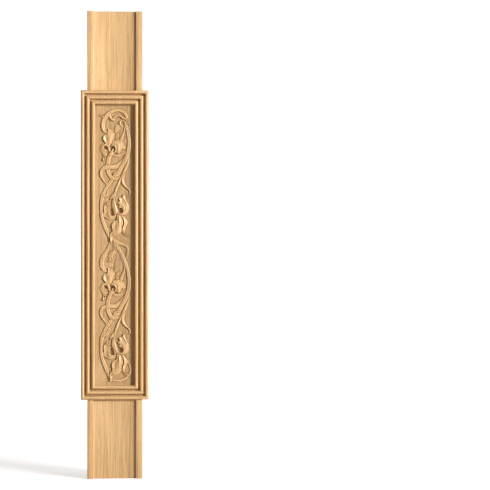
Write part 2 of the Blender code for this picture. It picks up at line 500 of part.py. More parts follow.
    petal([(-0.9, -90), (-2.2, -93), (-4.9, -100), (-5.7, -112), (-2.5, -120.5), (-1.8, -124.3),
           (-1.6, -127), (0.5, -128.2), (2.6, -127.6), (3.6, -125.4), (5.9, -121), (1.1, -104.5),
           (0.4, -99.2), (0.8, -94), (1.3, -90)],
          [(-2.8, -97, 2.2), (-0.6, -98, 2.9), (-5, -104, 2.2), (-1.2, -104, 3), (0.4, -103, 2.6),
           (-5.2, -110, 2.2), (-1, -110, 3.2), (2, -109, 3), (-3.4, -116, 2.4), (0.8, -116, 3.3),
           (3.8, -115, 3), (-1, -123, 2.3), (2.2, -121, 3.3), (4.8, -120.8, 3), (1, -127, 2.6)])
    petal([(3, -127.6), (3.7, -130.7), (2.7, -138.2), (-1.9, -140.3), (-6.3, -148.6), (-4.7, -156.9),
           (-5.1, -159), (-10.3, -165.7), (-9.4, -174.6), (-9.1, -180.1), (-5.1, -180.5), (-4.2, -172.5),
           (9.9, -164.9), (13.5, -158.2), (13.3, -155.4), (14.4, -149.3), (15.6, -146.3), (15.6, -140.2),
           (14, -134.9), (12.5, -132.6), (11, -129.6), (6, -128)],
          [(7, -129.8, 3.4), (4.7, -134, 2.7), (-1, -141, 2.5), (-5.6, -150, 3.1), (-9.5, -169, 2.4),
           (0.5, -147, 2.8), (0, -153, 2.9), (4.7, -139.5, 2.9), (8, -136, 4.3), (8.5, -142, 4.7),
           (8, -149, 4.8), (7, -156, 4.6), (12, -133.5, 3.3), (14.9, -144, 4), (13.2, -151, 4),
           (12, -160.5, 3.9), (10.5, -163.4, 4.3), (-8, -172.5, 4.2), (-5.4, -174, 3), (-8.3, -177, 4.2),
           (-5.8, -178, 3.1), (-7.2, -180.3, 3)],
          veins=[([(11.8, -161.3), (8, -162.5), (4.9, -163), (0.4, -165.4), (-0.6, -167.1)], -0.9, 0.5),
                 ([(-0.6, -167.1), (-4.9, -167.4), (-6.8, -168.8), (-8.9, -174)], -0.9, 0.5),
                 ([(6, -131), (5.7, -137), (0.6, -147), (0.3, -158)], -0.5, 1.8)])
    # The dark openings: the throat and small curl of the side flower, and two in the hanging flower
    for centre, radii in (((-3.9, -0.6), (5.2, 5.2)), ((-18.7, 1.3), (3.6, 3.6)),
                          ((11.2, -120), (5.6, 5.6)), ((-5.8, -122.5), (4.4, 7.6))):
        field.hollow(centre, radii, HOLLOW_FLOOR)
    if last:
        # Leaf that closes the row at the foot
        blade([(-8, -177.5, 1.4, 1.8), (6, -179.3, 2.3, 2.1), (14, -178, 2.5, 2.1), (22, -174, 2.5, 2.1),
               (28, -167, 2.5, 2.1), (30.3, -158.5, 2.2, 2), (28.8, -150.5, 1.8, 1.9), (26, -144, 1.5, 1.8),
               (26.5, -139.5, 1.3, 1.7), (31, -135.8, 0.7, 1.4)], profile=(0.7, 1, 0.7))


def carved_ground():
    """The carved ground as a closed slab that is let into the pocket's floor and walls."""
    field = Field()
    carve_iris(field, UPPER_IRIS, True, False)
    carve_iris(field, LOWER_IRIS, False, True)
    rows, columns = field.height.shape
    x = field.u * FIELD_WIDTH / CARTOON_WIDTH
    z = FIELD_BOTTOM + field.t * FIELD_HEIGHT / CARTOON_HEIGHT
    y = -CORE_HALF - field.height * RELIEF_HEIGHT / CARTOON_RELIEF
    verts = [(x[i], y[j, i], z[j]) for j in range(rows) for i in range(columns)]
    faces = [(j * columns + i, j * columns + i + 1, (j + 1) * columns + i + 1, (j + 1) * columns + i)
             for j in range(rows - 1) for i in range(columns - 1)]
    mesh = bpy.data.meshes.new("ground")
    mesh.from_pydata(verts, [], faces)
    sheet = bpy.data.objects.new("ground", mesh)
    bpy.context.collection.objects.link(sheet)
    thin = sheet.modifiers.new("thin", "DECIMATE")
    thin.ratio = RELIEF_TRIANGLES / (2 * len(faces))
    thin.use_collapse_triangulate = True
    apply_modifiers(sheet)
    bm = bmesh.new()
    bm.from_mesh(sheet.data)
    bpy.data.objects.remove(sheet, do_unlink=True)
    rim = [edge for edge in bm.edges if edge.is_boundary]
    made = bmesh.ops.extrude_edge_only(bm, edges=rim)["geom"]
    for vert in (item for item in made if isinstance(item, bmesh.types.BMVert)):
        vert.co.y = -CORE_HALF + 2 * POCKET_DEPTH
    bmesh.ops.holes_fill(bm, edges=[edge for edge in bm.edges if edge.is_boundary], sides=0)
    return new_object("ground", bm)


baluster = frame_block()
unite(baluster, end_board("foot", 0.0, FRAME_BOTTOM + BOARD_GRIP))
unite(baluster, end_board("head", FRAME_TOP - BOARD_GRIP, TOTAL_HEIGHT))
unite(baluster, carved_ground())

oak = bpy.data.materials.new("oak")
oak.use_nodes = True
wood = oak.node_tree.nodes["Principled BSDF"]
wood.inputs["Base Color"].default_value = (0.78, 0.53, 0.28, 1.0)
wood.inputs["Roughness"].default_value = 0.55
baluster.data.materials.clear()
baluster.data.materials.append(oak)
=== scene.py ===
import math

import bmesh
import bpy
import numpy as np
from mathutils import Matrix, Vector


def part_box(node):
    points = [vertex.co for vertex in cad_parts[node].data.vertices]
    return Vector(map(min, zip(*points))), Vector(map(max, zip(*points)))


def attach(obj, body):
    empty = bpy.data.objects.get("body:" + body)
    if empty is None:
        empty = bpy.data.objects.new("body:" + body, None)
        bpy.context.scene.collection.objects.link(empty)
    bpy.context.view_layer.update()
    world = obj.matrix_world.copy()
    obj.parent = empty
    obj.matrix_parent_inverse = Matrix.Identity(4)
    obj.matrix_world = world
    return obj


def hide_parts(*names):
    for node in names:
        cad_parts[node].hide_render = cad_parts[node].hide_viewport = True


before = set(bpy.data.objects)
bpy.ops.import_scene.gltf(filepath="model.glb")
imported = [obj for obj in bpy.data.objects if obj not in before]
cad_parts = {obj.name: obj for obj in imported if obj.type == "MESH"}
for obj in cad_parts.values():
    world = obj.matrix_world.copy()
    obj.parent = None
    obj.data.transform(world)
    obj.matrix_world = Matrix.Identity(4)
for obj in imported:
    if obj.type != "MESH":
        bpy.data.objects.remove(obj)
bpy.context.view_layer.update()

# The blank: a block for the reeded frame, and a board that stands out of it at each end.
# Solid light oak, glued up to width with the grain upright, so frame and boards are one
# piece of wood. The reeds are run with a moulding plane and the boards are ploughed out.

LOW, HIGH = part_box("baluster")
TOTAL_HEIGHT = HIGH.z - LOW.z
FRAME_WIDTH = HIGH.x - LOW.x
FRAME_HEIGHT = 0.595
BOARD_WIDTH = 0.106
BOARD_THICKNESS = 0.036
FLANGE_WIDTH = 0.012
CORE_THICKNESS = 0.026
REED_COUNT = 3
REED_WIDTH = 0.0067
REED_RISE = 0.0040
QUIRK_WIDTH = 0.0034
QUIRK_DEPTH = 0.0045
FRAME_PROUD = 0.0015
REED_STEPS = 16
ARRIS = 0.0004
OVERRUN = 0.01

FRAME_THICKNESS = BOARD_THICKNESS + 2 * FRAME_PROUD
MOULDING_WIDTH = REED_COUNT * REED_WIDTH + (REED_COUNT - 1) * QUIRK_WIDTH
FRAME_BOTTOM = (TOTAL_HEIGHT - FRAME_HEIGHT) / 2
FRAME_TOP = FRAME_BOTTOM + FRAME_HEIGHT
BOARD_GRIP = 0.7 * REED_WIDTH


def deselect():
    """Leaves nothing selected, so an operator acts only on what comes next."""
    if bpy.context.object and bpy.context.object.mode != "OBJECT":
        bpy.ops.object.mode_set(mode="OBJECT")
    bpy.ops.object.select_all(action="DESELECT")


def block(name, low, high):
    """A sawn block between two corners."""
    deselect()
    middle = [(a + b) / 2 for a, b in zip(low, high)]
    size = [b - a for a, b in zip(low, high)]
    bpy.ops.mesh.primitive_cube_add(size=1, location=middle, scale=size)
    bpy.ops.object.transform_apply(location=True, rotation=False, scale=True)
    piece = bpy.context.object
    piece.name = name
    return piece


def work(piece, kind, **settings):
    """Puts one modifier on the piece and applies it."""
    deselect()
    bpy.context.view_layer.objects.active = piece
    piece.select_set(True)
    modifier = piece.modifiers.new(kind.lower(), kind)
    for key, value in settings.items():
        setattr(modifier, key, value)
    bpy.ops.object.modifier_apply(modifier=modifier.name)


def combine(piece, tool, operation):
    """Joins a second solid to the piece, or cuts with it, and clears it away."""
    work(piece, "BOOLEAN", object=tool, operation=operation, solver="EXACT")
    bpy.data.objects.remove(tool, do_unlink=True)


baluster = block("carved_baluster",
                 (-FRAME_WIDTH / 2, -FRAME_THICKNESS / 2, FRAME_BOTTOM),
                 (FRAME_WIDTH / 2, FRAME_THICKNESS / 2, FRAME_TOP))

# Front and back are worked alike: each step insets the face and lifts or sinks it
bpy.ops.object.mode_set(mode="EDIT")
bpy.ops.mesh.select_mode(type="FACE")
bpy.ops.mesh.select_all(action="DESELECT")
blank = bmesh.from_edit_mesh(baluster.data)
for face in blank.faces:
    face.select_set(abs(face.normal.y) > 0.9)
bmesh.update_edit_mesh(baluster.data)
for reed in range(REED_COUNT):
    if reed:
        bpy.ops.mesh.inset(thickness=QUIRK_WIDTH, depth=0, use_individual=True, use_even_offset=True)
        bpy.ops.mesh.inset(thickness=0, depth=QUIRK_DEPTH, use_individual=True, use_even_offset=True)
    for step in range(REED_STEPS):
        a = math.pi * step / REED_STEPS
        b = math.pi * (step + 1) / REED_STEPS
        bpy.ops.mesh.inset(thickness=REED_WIDTH / 2 * (math.cos(a) - math.cos(b)),
                           depth=REED_RISE * (math.sin(b) - math.sin(a)),
                           use_individual=True, use_even_offset=True)
    if reed < REED_COUNT - 1:
        bpy.ops.mesh.inset(thickness=0, depth=-QUIRK_DEPTH, use_individual=True, use_even_offset=True)
bpy.ops.mesh.inset(thickness=0, depth=(CORE_THICKNESS - FRAME_THICKNESS) / 2, use_individual=True,
                   use_even_offset=True)
bpy.ops.object.mode_set(mode="OBJECT")

for name, bottom, top in (("foot", 0.0, FRAME_BOTTOM + BOARD_GRIP),
                          ("head", FRAME_TOP - BOARD_GRIP, TOTAL_HEIGHT)):
    board = block(name, (-BOARD_WIDTH / 2, -BOARD_THICKNESS / 2, bottom),
                  (BOARD_WIDTH / 2, BOARD_THICKNESS / 2, top))
    channel = BOARD_WIDTH / 2 - FLANGE_WIDTH
    for side in (-1, 1):
        cut = sorted((side * CORE_THICKNESS / 2, side * BOARD_THICKNESS))
        plough = block("plough", (-channel, cut[0], bottom - OVERRUN), (channel, cut[1], top + OVERRUN))
        combine(board, plough, "DIFFERENCE")
    work(board, "BEVEL", width=ARRIS, segments=2, limit_method="ANGLE", angle_limit=math.radians(60))
    combine(baluster, board, "UNION")

# The carving: two climbing irises cut in relief from the same wood, their ground 10 mm
# below the crowns of the reeds. The carver lowers the ground with a router, sets in the
# outlines with gouges, and models each stem and petal to a crisp edge and a soft crown.

FIELD_WIDTH = FRAME_WIDTH - 2 * MOULDING_WIDTH
FIELD_HEIGHT = FRAME_HEIGHT - 2 * MOULDING_WIDTH
FIELD_BOTTOM = FRAME_BOTTOM + MOULDING_WIDTH
CORE_HALF = CORE_THICKNESS / 2
WALL_GRIP = 0.001
POCKET_DEPTH = 0.004
GRID_STEP = 0.0004
CARVING_TRIANGLES = 176000
CREASE = math.radians(38)

# The cartoon is in millimetres: across from the field's middle, and up from its foot.
# A height of one in it stands RELIEF_STEP out of the ground.
MILLIMETRES = 1000
RELIEF_STEP = 0.0012
UPPER_IRIS = 456.7
LOWER_IRIS = 188.3
EDGE_RUN = 0.6
SET_RUN = 0.9
SET_DEPTH = 0.7
BARE_GROUND = 0.5
HOLLOW_FLOOR = -2.8
HOLE_WALL = 0.7
LOWEST_PETAL = 0.3
THINNEST_TIP = 0.05
BLADE_STEPS = 10
OUTLINE_STEPS = 6

u_line = np.arange(-FIELD_WIDTH / 2 - WALL_GRIP, FIELD_WIDTH / 2 + WALL_GRIP + GRID_STEP, GRID_STEP)
u_line *= MILLIMETRES
t_line = np.arange(-WALL_GRIP, FIELD_HEIGHT + WALL_GRIP + GRID_STEP, GRID_STEP) * MILLIMETRES
relief = np.zeros((len(t_line), len(u_line)))


def smooth_path(stations, steps, closed=False):
    """A smooth line through the stations, with any width and height carried along it."""
    p = np.array(stations, float)
    p = np.vstack([p[-1], p, p[:2]]) if closed else np.vstack([2 * p[0] - p[1], p, 2 * p[-1] - p[-2]])
    gaps = np.sqrt(np.hypot(np.diff(p[:, 0]), np.diff(p[:, 1])))
    knots = np.concatenate([[0.0], np.cumsum(gaps)])[:, None]
    rows = []
    for i in range(1, len(p) - 2):
        k0, k1, k2, k3 = knots[i - 1:i + 3]
        k = np.linspace(k1, k2, steps, endpoint=False)
        a1 = (k1 - k) / (k1 - k0) * p[i - 1] + (k - k0) / (k1 - k0) * p[i]
        a2 = (k2 - k) / (k2 - k1) * p[i] + (k - k1) / (k2 - k1) * p[i + 1]
        a3 = (k3 - k) / (k3 - k2) * p[i + 1] + (k - k2) / (k3 - k2) * p[i + 2]
        b1 = (k2 - k) / (k2 - k0) * a1 + (k - k0) / (k2 - k0) * a2
        b2 = (k3 - k) / (k3 - k1) * a2 + (k - k1) / (k3 - k1) * a3
        rows.append((k2 - k) / (k2 - k1) * b1 + (k - k1) / (k2 - k1) * b2)
    rows.append(p[-2:-1])
    return np.vstack(rows)


def measure_from(path, u, t):
    """Distance of each point from the line, its side (positive to the right of travel) and its share
    of the run."""
    start = path[:-1, :2]
    step = path[1:, :2] - start
    length = np.maximum(np.hypot(step[:, 0], step[:, 1]), 1e-6)
    run = np.concatenate([[0.0], np.cumsum(length)])
    nearest = np.full(u.shape, 1e9)
    side = np.ones(u.shape)
    share = np.zeros(u.shape)
    for i in range(len(start)):
        pu = u - start[i, 0]
        pt = t - start[i, 1]
        along = np.clip((pu * step[i, 0] + pt * step[i, 1]) / length[i] ** 2, 0, 1)
        distance = np.hypot(pu - along * step[i, 0], pt - along * step[i, 1])
        closer = distance < nearest
        nearest = np.where(closer, distance, nearest)
        side = np.where(closer, np.where(pu * step[i, 1] < pt * step[i, 0], -1, 1), side)
        share = np.where(closer, (run[i] + along * length[i]) / run[-1], share)
    return nearest, side, share


def is_inside(path, u, t):
    """Whether each point lies inside the closed line."""
    inside = np.zeros(u.shape, bool)
    for (u0, t0), (u1, t1) in zip(path[:-1], path[1:]):
        if t0 != t1:
            inside ^= ((t0 > t) != (t1 > t)) & (u < u0 + (u1 - u0) * (t - t0) / (t1 - t0))
    return inside


def smooth_surface(marks, u, t):
    """The smooth surface that passes through the carver's depth marks, as a thin sheet would bend."""
    m = np.array(marks, float)
    count = len(m)

    def bend(du, dt):
        square = du * du + dt * dt
        return square * np.log(square + 1e-9)

    flat = np.column_stack([np.ones(count), m[:, :2]])
    system = np.block([[bend(m[:, :1] - m[:, 0], m[:, 1:2] - m[:, 1]), flat], [flat.T, np.zeros((3, 3))]])
    weights = np.linalg.solve(system, np.append(m[:, 2], [0, 0, 0]))
    height = weights[-3] + weights[-2] * u + weights[-1] * t
    for mark, weight in zip(m, weights):
        height = height + weight * bend(u - mark[0], t - mark[1])
    return height


def window(origin, path, reach):
    """The part of the relief round a line, with its points measured from the iris's origin."""
    low = origin + path[:, 1].min() - reach
    high = origin + path[:, 1].max() + reach
    rows = slice(*np.searchsorted(t_line, (low, high)))
    columns = slice(*np.searchsorted(u_line, (path[:, 0].min() - reach, path[:, 0].max() + reach)))
    u, t = np.meshgrid(u_line[columns], t_line[rows] - origin)
    return rows, columns, u, t


def shoulder(distance):
    """How far a form has risen to its full height, this far in from its edge."""
    run = np.clip(distance / EDGE_RUN, 0, 1)
    return np.sqrt(1 - (1 - run) ** 2)


def set_in(old, gap):
    """The V that the gouge leaves round an outline, this far out from it."""
    cut = np.maximum(old - SET_DEPTH * (1 - gap / SET_RUN), np.minimum(old, -SET_DEPTH))
    return np.where(gap < SET_RUN, cut, old)


def cut_blade(origin, stations, profile=(0.6, 1.0, 0.6), crest=0.0, grooves=(), merge=False):
    """Carves one stem, ribbon or tendril over what is there. Stations give its centre line, half width and
    height; profile is the height at the left edge, the crest and the right edge; grooves are (place, depth,
    width) across it; merge lets it grow out of another."""
    path = smooth_path(stations, BLADE_STEPS)
    path[:, 2] = np.maximum(path[:, 2], THINNEST_TIP)
    rows, columns, u, t = window(origin, path, path[:, 2].max() + 2)
    distance, side, share = measure_from(path, u, t)
    run = np.concatenate([[0.0], np.cumsum(np.hypot(np.diff(path[:, 0]), np.diff(path[:, 1])))])
    half = np.interp(share, run / run[-1], path[:, 2])
    crown = np.interp(share, run / run[-1], path[:, 3])
    v = np.clip(side * distance / half, -1, 1)
    left, top, right = profile
    fall = np.where(v < crest, (crest - v) / (crest + 1), (v - crest) / (1 - crest)) ** 2
    shape = top + (np.where(v < crest, left, right) - top) * fall
    for place, depth, width in grooves:
        shape = shape - depth / crown * np.exp(-((v - place) / width) ** 2)
    old = relief[rows, columns]
    new = old + (crown * shape - old) * shoulder(half - distance)
    outside = np.where((share > 0) & (share < 1), set_in(old, distance - half), old)
    if merge:
        new = np.maximum(old, new)
        outside = old
    relief[rows, columns] = np.where(distance < half, new, outside)


def cut_petal(origin, outline, marks, veins=(), ruffle=None):
    """Carves one petal or leaf over what is there. Marks are (across, up, height); veins are (line, rise,
    width), and a groove's rise is below nothing; ruffle is (depth, waves, reach) along the margin."""
    path = smooth_path(outline, OUTLINE_STEPS, closed=True)
    rows, columns, u, t = window(origin, path, 2)
    distance, _, share = measure_from(path, u, t)
    height = smooth_surface(marks, u, t)
    for line, rise, width in veins:
        gap, _, run = measure_from(smooth_path(line, OUTLINE_STEPS), u, t)
        swell = np.sqrt(np.sin(math.pi * np.clip(run, 0, 1)) + 1e-6)
        height = height + rise * swell * np.exp(-(gap / width) ** 2)
    if ruffle:
        depth, waves, reach = ruffle
        height = height + depth * np.sin(2 * math.pi * waves * share) * np.clip(1 - distance / reach, 0, 1)
    old = relief[rows, columns]
    new = old + (np.maximum(height, LOWEST_PETAL) - old) * shoulder(distance)
    relief[rows, columns] = np.where(is_inside(path, u, t), new, set_in(old, distance))


def cut_hollow(origin, centre, radii, floor):
    """Sinks the bare ground inside an oval, and leaves the petals round it."""
    limits = np.array([np.subtract(centre, radii), np.add(centre, radii)])
    rows, columns, u, t = window(origin, limits, 0)
    reach = np.hypot((u - centre[0]) / radii[0], (t - centre[1]) / radii[1])
    share = np.clip((1 - reach) * min(radii) / HOLE_WALL, 0, 1)
    old = relief[rows, columns]
    relief[rows, columns] = np.where(old < BARE_GROUND, old + (floor - old) * share, old)


# The flower stem and its loop: centre line, half width and height
STEM = [(-0.6, 2.6, 1.3, 0.8), (-3, -1.8, 1.8, 1.5), (-5.6, -6.8, 2.6, 2.2), (-7.9, -11.5, 3.8, 2.4),
        (-10, -16.5, 4.1, 2.3), (-11.8, -21.5, 4, 2.2), (-12.9, -27, 4, 2), (-13.4, -33, 3.9, 1.8),
        (-13.1, -43, 3.8, 1.9)]
LOOP = [(-13.1, -43, 3.8, 1.9), (-12.2, -47, 3.75, 2), (-10.6, -50.5, 3.7, 2.1), (-7.3, -55.5, 3.6, 2.3),
        (-3, -58.5, 3.2, 2.7), (2, -59.1, 2.9, 3), (6.2, -57.2, 2.2, 3), (8.6, -53.8, 1.3, 2.8),
        (9.1, -50.3, 0.6, 2.4)]


def carve_iris(origin, first, last):
    """One iris of the climbing row; the first has the scroll at its top, the last the closing leaf."""

    def blade(stations, **ways):
        cut_blade(origin, stations, **ways)

    def petal(outline, marks, **ways):
        cut_petal(origin, outline, marks, **ways)

    def hollow(centre, radii, floor):
        cut_hollow(origin, centre, radii, floor)

    # Strand at the right, then the hooked leaf that leaves it
    blade([(27.3, -14, 1.4, 1.5), (26.3, -24, 2, 1.7), (21.8, -37, 2.9, 2), (18.6, -44, 2.7, 2),
           (12.2, -56, 1.8, 1.9), (6.7, -70, 2.5, 2.2), (2.6, -80, 2.4, 2.4), (1, -86, 2, 2.6),
           (0.1, -92, 1.6, 2.8)], profile=(0.55, 1, 0.8), crest=0.3)
    petal([(20.6, -45.5), (15.2, -52), (13.5, -56), (12.9, -61), (13.3, -65), (15, -69.5), (18, -73),
           (25.2, -79.2), (27.5, -82), (28.2, -84.8), (27.5, -87), (26.2, -88.4), (24.9, -89.4),
           (26.5, -90), (29, -89.2), (30.7, -86.8), (31.1, -84), (30.3, -81), (28.3, -77.8), (22, -70),
           (19.8, -65), (18.9, -60), (19.3, -55)],
          [(19.5, -48.5, 1.8), (15.2, -55.5, 2.3), (18.2, -58, 1.6), (17.5, -70, 2.2), (22.5, -74.5, 2.2),
           (23, -72.3, 1.6), (27.3, -79, 2.2), (29, -88, 1.8), (26, -89.2, 1.8)],
          veins=[([(19, -50), (17, -56), (16.6, -62), (18.6, -68), (28, -79)], -0.3, 0.6)])
    # Flower stem, the part above the ribbon
    blade(STEM, profile=(0.8, 1, 0.7), grooves=((0.2, 0.55, 0.16), (-0.4, 0.15, 0.3)))
    # Crescent band between the flower and the long stem
    blade([(-4.5, -13.3, 1.4, 1.2), (1, -13.9, 2.3, 1.7), (7, -14, 2.4, 1.7), (12.5, -12.9, 2.3, 1.7),
           (17, -10.6, 2, 1.6), (21, -7, 1.5, 1.4)], profile=(0.9, 1, 0.8), merge=True)
    # Ribbon over the flower stem
    blade([(18.2, -13.5, 0.4, 2), (15.6, -20, 1.6, 2.3), (12.3, -25.6, 2.6, 2.5), (8.3, -30.8, 4, 2.7),
           (3.5, -34.5, 4.6, 2.8), (-2, -35.8, 4.1, 2.9), (-14, -35.8, 4.1, 2.9), (-19.5, -37.3, 4, 2.6),
           (-23.8, -41, 3.7, 2.4), (-25.8, -46.5, 3.3, 2.3), (-25.4, -52, 3.2, 2.2),
           (-22.6, -57.5, 3.1, 2.1), (-19, -62.5, 3.1, 2), (-12.5, -71.5, 2.6, 1.5)],
          profile=(0.85, 1, 0.85))
    blade([(-21.5, -40.5, 0.4, 2.3), (-25, -45.5, 0.8, 1.9), (-25, -51, 0.9, 1.8), (-22.2, -57.3, 0.9, 1.7),
           (-14.8, -67.9, 0.5, 1.5)], profile=(1, 0.75, 1))

    if first:
        stalk = [(17, 52.5, 1, 2), (19.5, 48.5, 1.9, 2.2), (21, 44, 2.6, 2.4)]
        blade([(20.3, 45, 1.6, 2.3), (19, 38, 1.4, 2.3), (17.8, 32, 1.9, 2.4), (11.8, 16.5, 3.2, 2.4),
               (9, 10, 3.2, 2.2)], profile=(0.7, 1, 0.7), grooves=((0.35, 0.5, 0.2),))
    else:
        stalk = [(1, 89.5, 1, 1.6), (4.2, 82.5, 2.4, 1.9), (7.6, 75.5, 3, 2.1), (11.8, 69, 3, 2.2),
                 (18.5, 55, 3.1, 2.4), (20.8, 48, 3.5, 2.4)]
        blade([(2.8, 77, 0.8, 1), (9.8, 65, 1.3, 1.2), (15, 51, 1.3, 1.2), (16.6, 43, 1, 1),
               (17, 37, 0.5, 0.8)], profile=(0.8, 1, 1))
        blade([(19, 48, 1.8, 2.3), (19.2, 41, 1.5, 2.3), (18.2, 34, 1.7, 2.4), (15.6, 26, 2.6, 2.4),
               (12, 17, 3.2, 2.4), (9, 10, 3.2, 2.2)], profile=(0.7, 1, 0.7), grooves=((0.35, 0.5, 0.2),))
    # Long stem that sweeps from side to side
    blade(stalk + [(22.8, 42, 2.8, 2.4), (24.4, 36, 2.9, 2.4), (27.7, 12, 3.5, 2.5), (26.4, -4, 3.9, 2.7),
                   (24.2, -12, 4, 2.8), (18.2, -26.5, 4.1, 2.9), (14.8, -32.5, 3.7, 2.8),
                   (7.2, -45.5, 4.1, 2.5), (2.6, -51.5, 4.9, 2.3), (-7.5, -63, 3.4, 2),
                   (-20, -84, 3.4, 2.1), (-23.2, -92, 3.5, 2.2), (-25, -100, 3.4, 2.2),
                   (-26.1, -110, 2.7, 2.2), (-25.3, -129, 2.8, 2.2), (-23, -139, 3.2, 2.2),
                   (-19.3, -149.5, 3.5, 2.2), (-15.3, -159, 3.4, 2.1), (-13, -167, 1.9, 2),
                   (-11.4, -177, 1, 1.7)],
          profile=(0.8, 1, 0.7), crest=-0.2, grooves=((0.12, 0.5, 0.15), (0.55, 0.25, 0.12)))
    # Gap between the ribbon and the long stem
    blade([(18.6, -12.5, 0.2, 1.2), (16, -19.3, 0.6, 0.4), (12, -27.3, 0.8, 0.3), (8, -34.3, 0.8, 0.3),
           (4.6, -40, 0.4, 0.4)], profile=(1, 1, 1))
    # Hook tendril that curls off the long stem, and the flower stem's loop over it
    blade([(9.5, -46.6, 0.8, 2.9), (5, -46.4, 1.6, 3.1), (1.5, -46, 1.7, 3), (-0.8, -47, 1.4, 2.6),
           (-2.2, -49.6, 0.9, 2.2)], profile=(0.8, 1, 0.7))
    blade(LOOP, profile=(0.8, 1, 0.7), grooves=((0.2, 0.55, 0.16), (-0.4, 0.15, 0.3)))

    # Sheath of the flower stem at the throat
    petal([(-10, -8.6), (-8.3, -5.6), (-6.2, -5.3), (-4.3, -7), (-2, -7.3), (0.8, -6.8), (-0.5, -9),
           (-2.8, -11.6), (-4.5, -14.2), (-8.5, -15.8), (-11.5, -12.4)],
          [(-9, -8, 2.7), (-6.6, -6.6, 3.1), (-4.4, -8.6, 3.2), (0, -7.4, 2.8), (-3.4, -11.6, 2.6),
           (-8.4, -12.6, 2.7), (-6.2, -14.4, 2.5)])

    # Side flower: curled petal with its drop, standard, and the fall round the throat
    petal([(-16, 8), (-18.6, 8.9), (-24.4, 7.8), (-27.1, 5.1), (-28.8, 1.3), (-29, -1.7), (-27.8, -4.8),
           (-24.1, -9.7), (-23.5, -12.4), (-23.3, -15), (-22.2, -16.4), (-20.8, -15.6), (-19.3, -16),
           (-17.8, -17.6), (-16.8, -16.6), (-16.6, -14.6), (-16, -13), (-14.7, -10.8), (-16.7, -7.4),
           (-16.5, -5.9), (-15.6, -4.8), (-15.6, -3.3), (-16.8, -2.2), (-21, -1), (-21.9, 0.6),
           (-21.8, 2.6), (-20.5, 4), (-18, 4.8), (-15.5, 4.6)],
          [(-19, 7.3, 2.2), (-22.8, 5.5, 2.3), (-23.6, 2, 2.3), (-19.5, -2.8, 2.2), (-16.6, -4, 2.3),
           (-25.5, 6, 1.3), (-27.8, 0, 1.1), (-17.5, -7, 2.4), (-15.5, -10.8, 2.5), (-21.5, -15, 1.6),
           (-17.5, -15.5, 2.6), (-20.8, -14.4, 2)],
          veins=[([(-16.5, 8), (-20.5, 7.4), (-23, 5.6), (-23.8, 2.5), (-23.2, -0.3), (-21.3, -2.5),
                   (-18.5, -3.3), (-16, -4.4)], 0.7, 0.8),
                 ([(-24.5, -3.5), (-22, -8), (-20.5, -12)], -0.3, 0.6),
                 ([(-21.5, -4.5), (-19.5, -8.5), (-18.8, -12)], -0.3, 0.6),
                 ([(-18.8, -12.5), (-19.4, -15.5)], -0.5, 0.6)])
    blade([(-21.3, -16.6, 0.6, 1.8), (-21.8, -19.2, 1.3, 2.6), (-22.1, -22, 1.9, 3.2),
           (-22.3, -24, 1.5, 2.8), (-22.4, -25.4, 0.5, 2)], profile=(0.6, 1, 0.5))
    petal([(-13.9, 37.2), (-11.5, 38.2), (-9.2, 37.6), (-7.6, 36.4), (-5.4, 36.9), (-3.7, 36.1),
           (-2.9, 33.6), (-2.7, 31), (-0.1, 29.6), (0.1, 27.2), (-0.2, 25.9), (1, 23.8), (1, 21.5),
           (-1, 18.8), (-0.4, 17.4), (-1.6, 15.9), (-3.7, 14.6), (-4.8, 12.7), (-5.9, 8.5), (-9.1, 4.7),
           (-8.7, 2), (-8.2, -4.5), (-9.2, -8), (-10.7, -7.2), (-14.2, 2.9), (-15.7, 4.9), (-17.3, 8.4),
           (-19.8, 12.7), (-21.9, 15.7), (-22.7, 18.8), (-21.4, 24.3), (-19.5, 26.4), (-14.8, 29.1),
           (-13.2, 30.8), (-12.7, 33.6)],
          [(-13, 36.6, 2.9), (-9.5, 36.8, 2.3), (-5, 35.5, 3), (-1.2, 28, 2.9), (0, 23.7, 2.9),
           (-2, 20.5, 1.8), (-1.2, 18.2, 2.9), (-4, 15.5, 2.7), (-8.5, 5.5, 2.2), (-21.5, 20, 2.9),
           (-20.5, 25, 2.3), (-17, 27.2, 1.9), (-17.5, 20, 1.9), (-16.5, 14, 1.9), (-19, 13.5, 2.5),
           (-13.3, 31, 3.2), (-14, 26, 3.2), (-9, 28, 3.2), (-8, 22, 3.5), (-5, 25, 3.5), (-10.5, 17, 3.4),
           (-12.7, 11, 3), (-15, 7, 2.3), (-12.5, 2, 2.4), (-9.8, -6.5, 1.8)],
          veins=[([(-7, 22), (-10.7, 17.7), (-12.3, 13.5), (-13.1, 8.5)], -0.55, 0.55),
                 ([(-9, 21), (-12, 17), (-13.6, 13), (-14.2, 8)], 0.3, 0.8),
                 ([(-13.1, 35.5), (-13.2, 31), (-15, 24)], 0.45, 0.7),
                 ([(-11, 36), (-11.3, 30), (-12, 25)], -0.35, 0.8),
                 ([(-4.8, 36), (-6, 29), (-8.3, 22)], -0.25, 0.5),
                 ([(-1.8, 30), (-4.5, 26), (-7.5, 20)], -0.25, 0.5),
                 ([(-8.4, 36), (-8.6, 30), (-9.6, 25)], -0.2, 0.5),
                 ([(-2, 20.6), (-5.5, 18), (-9, 12)], -0.35, 0.7),
                 ([(-19.5, 24), (-17, 19), (-15.6, 11)], -0.35, 0.8),
                 ([(-22, 19), (-19.4, 15), (-16, 9)], 0.25, 0.7)], ruffle=(0.16, 30, 3))
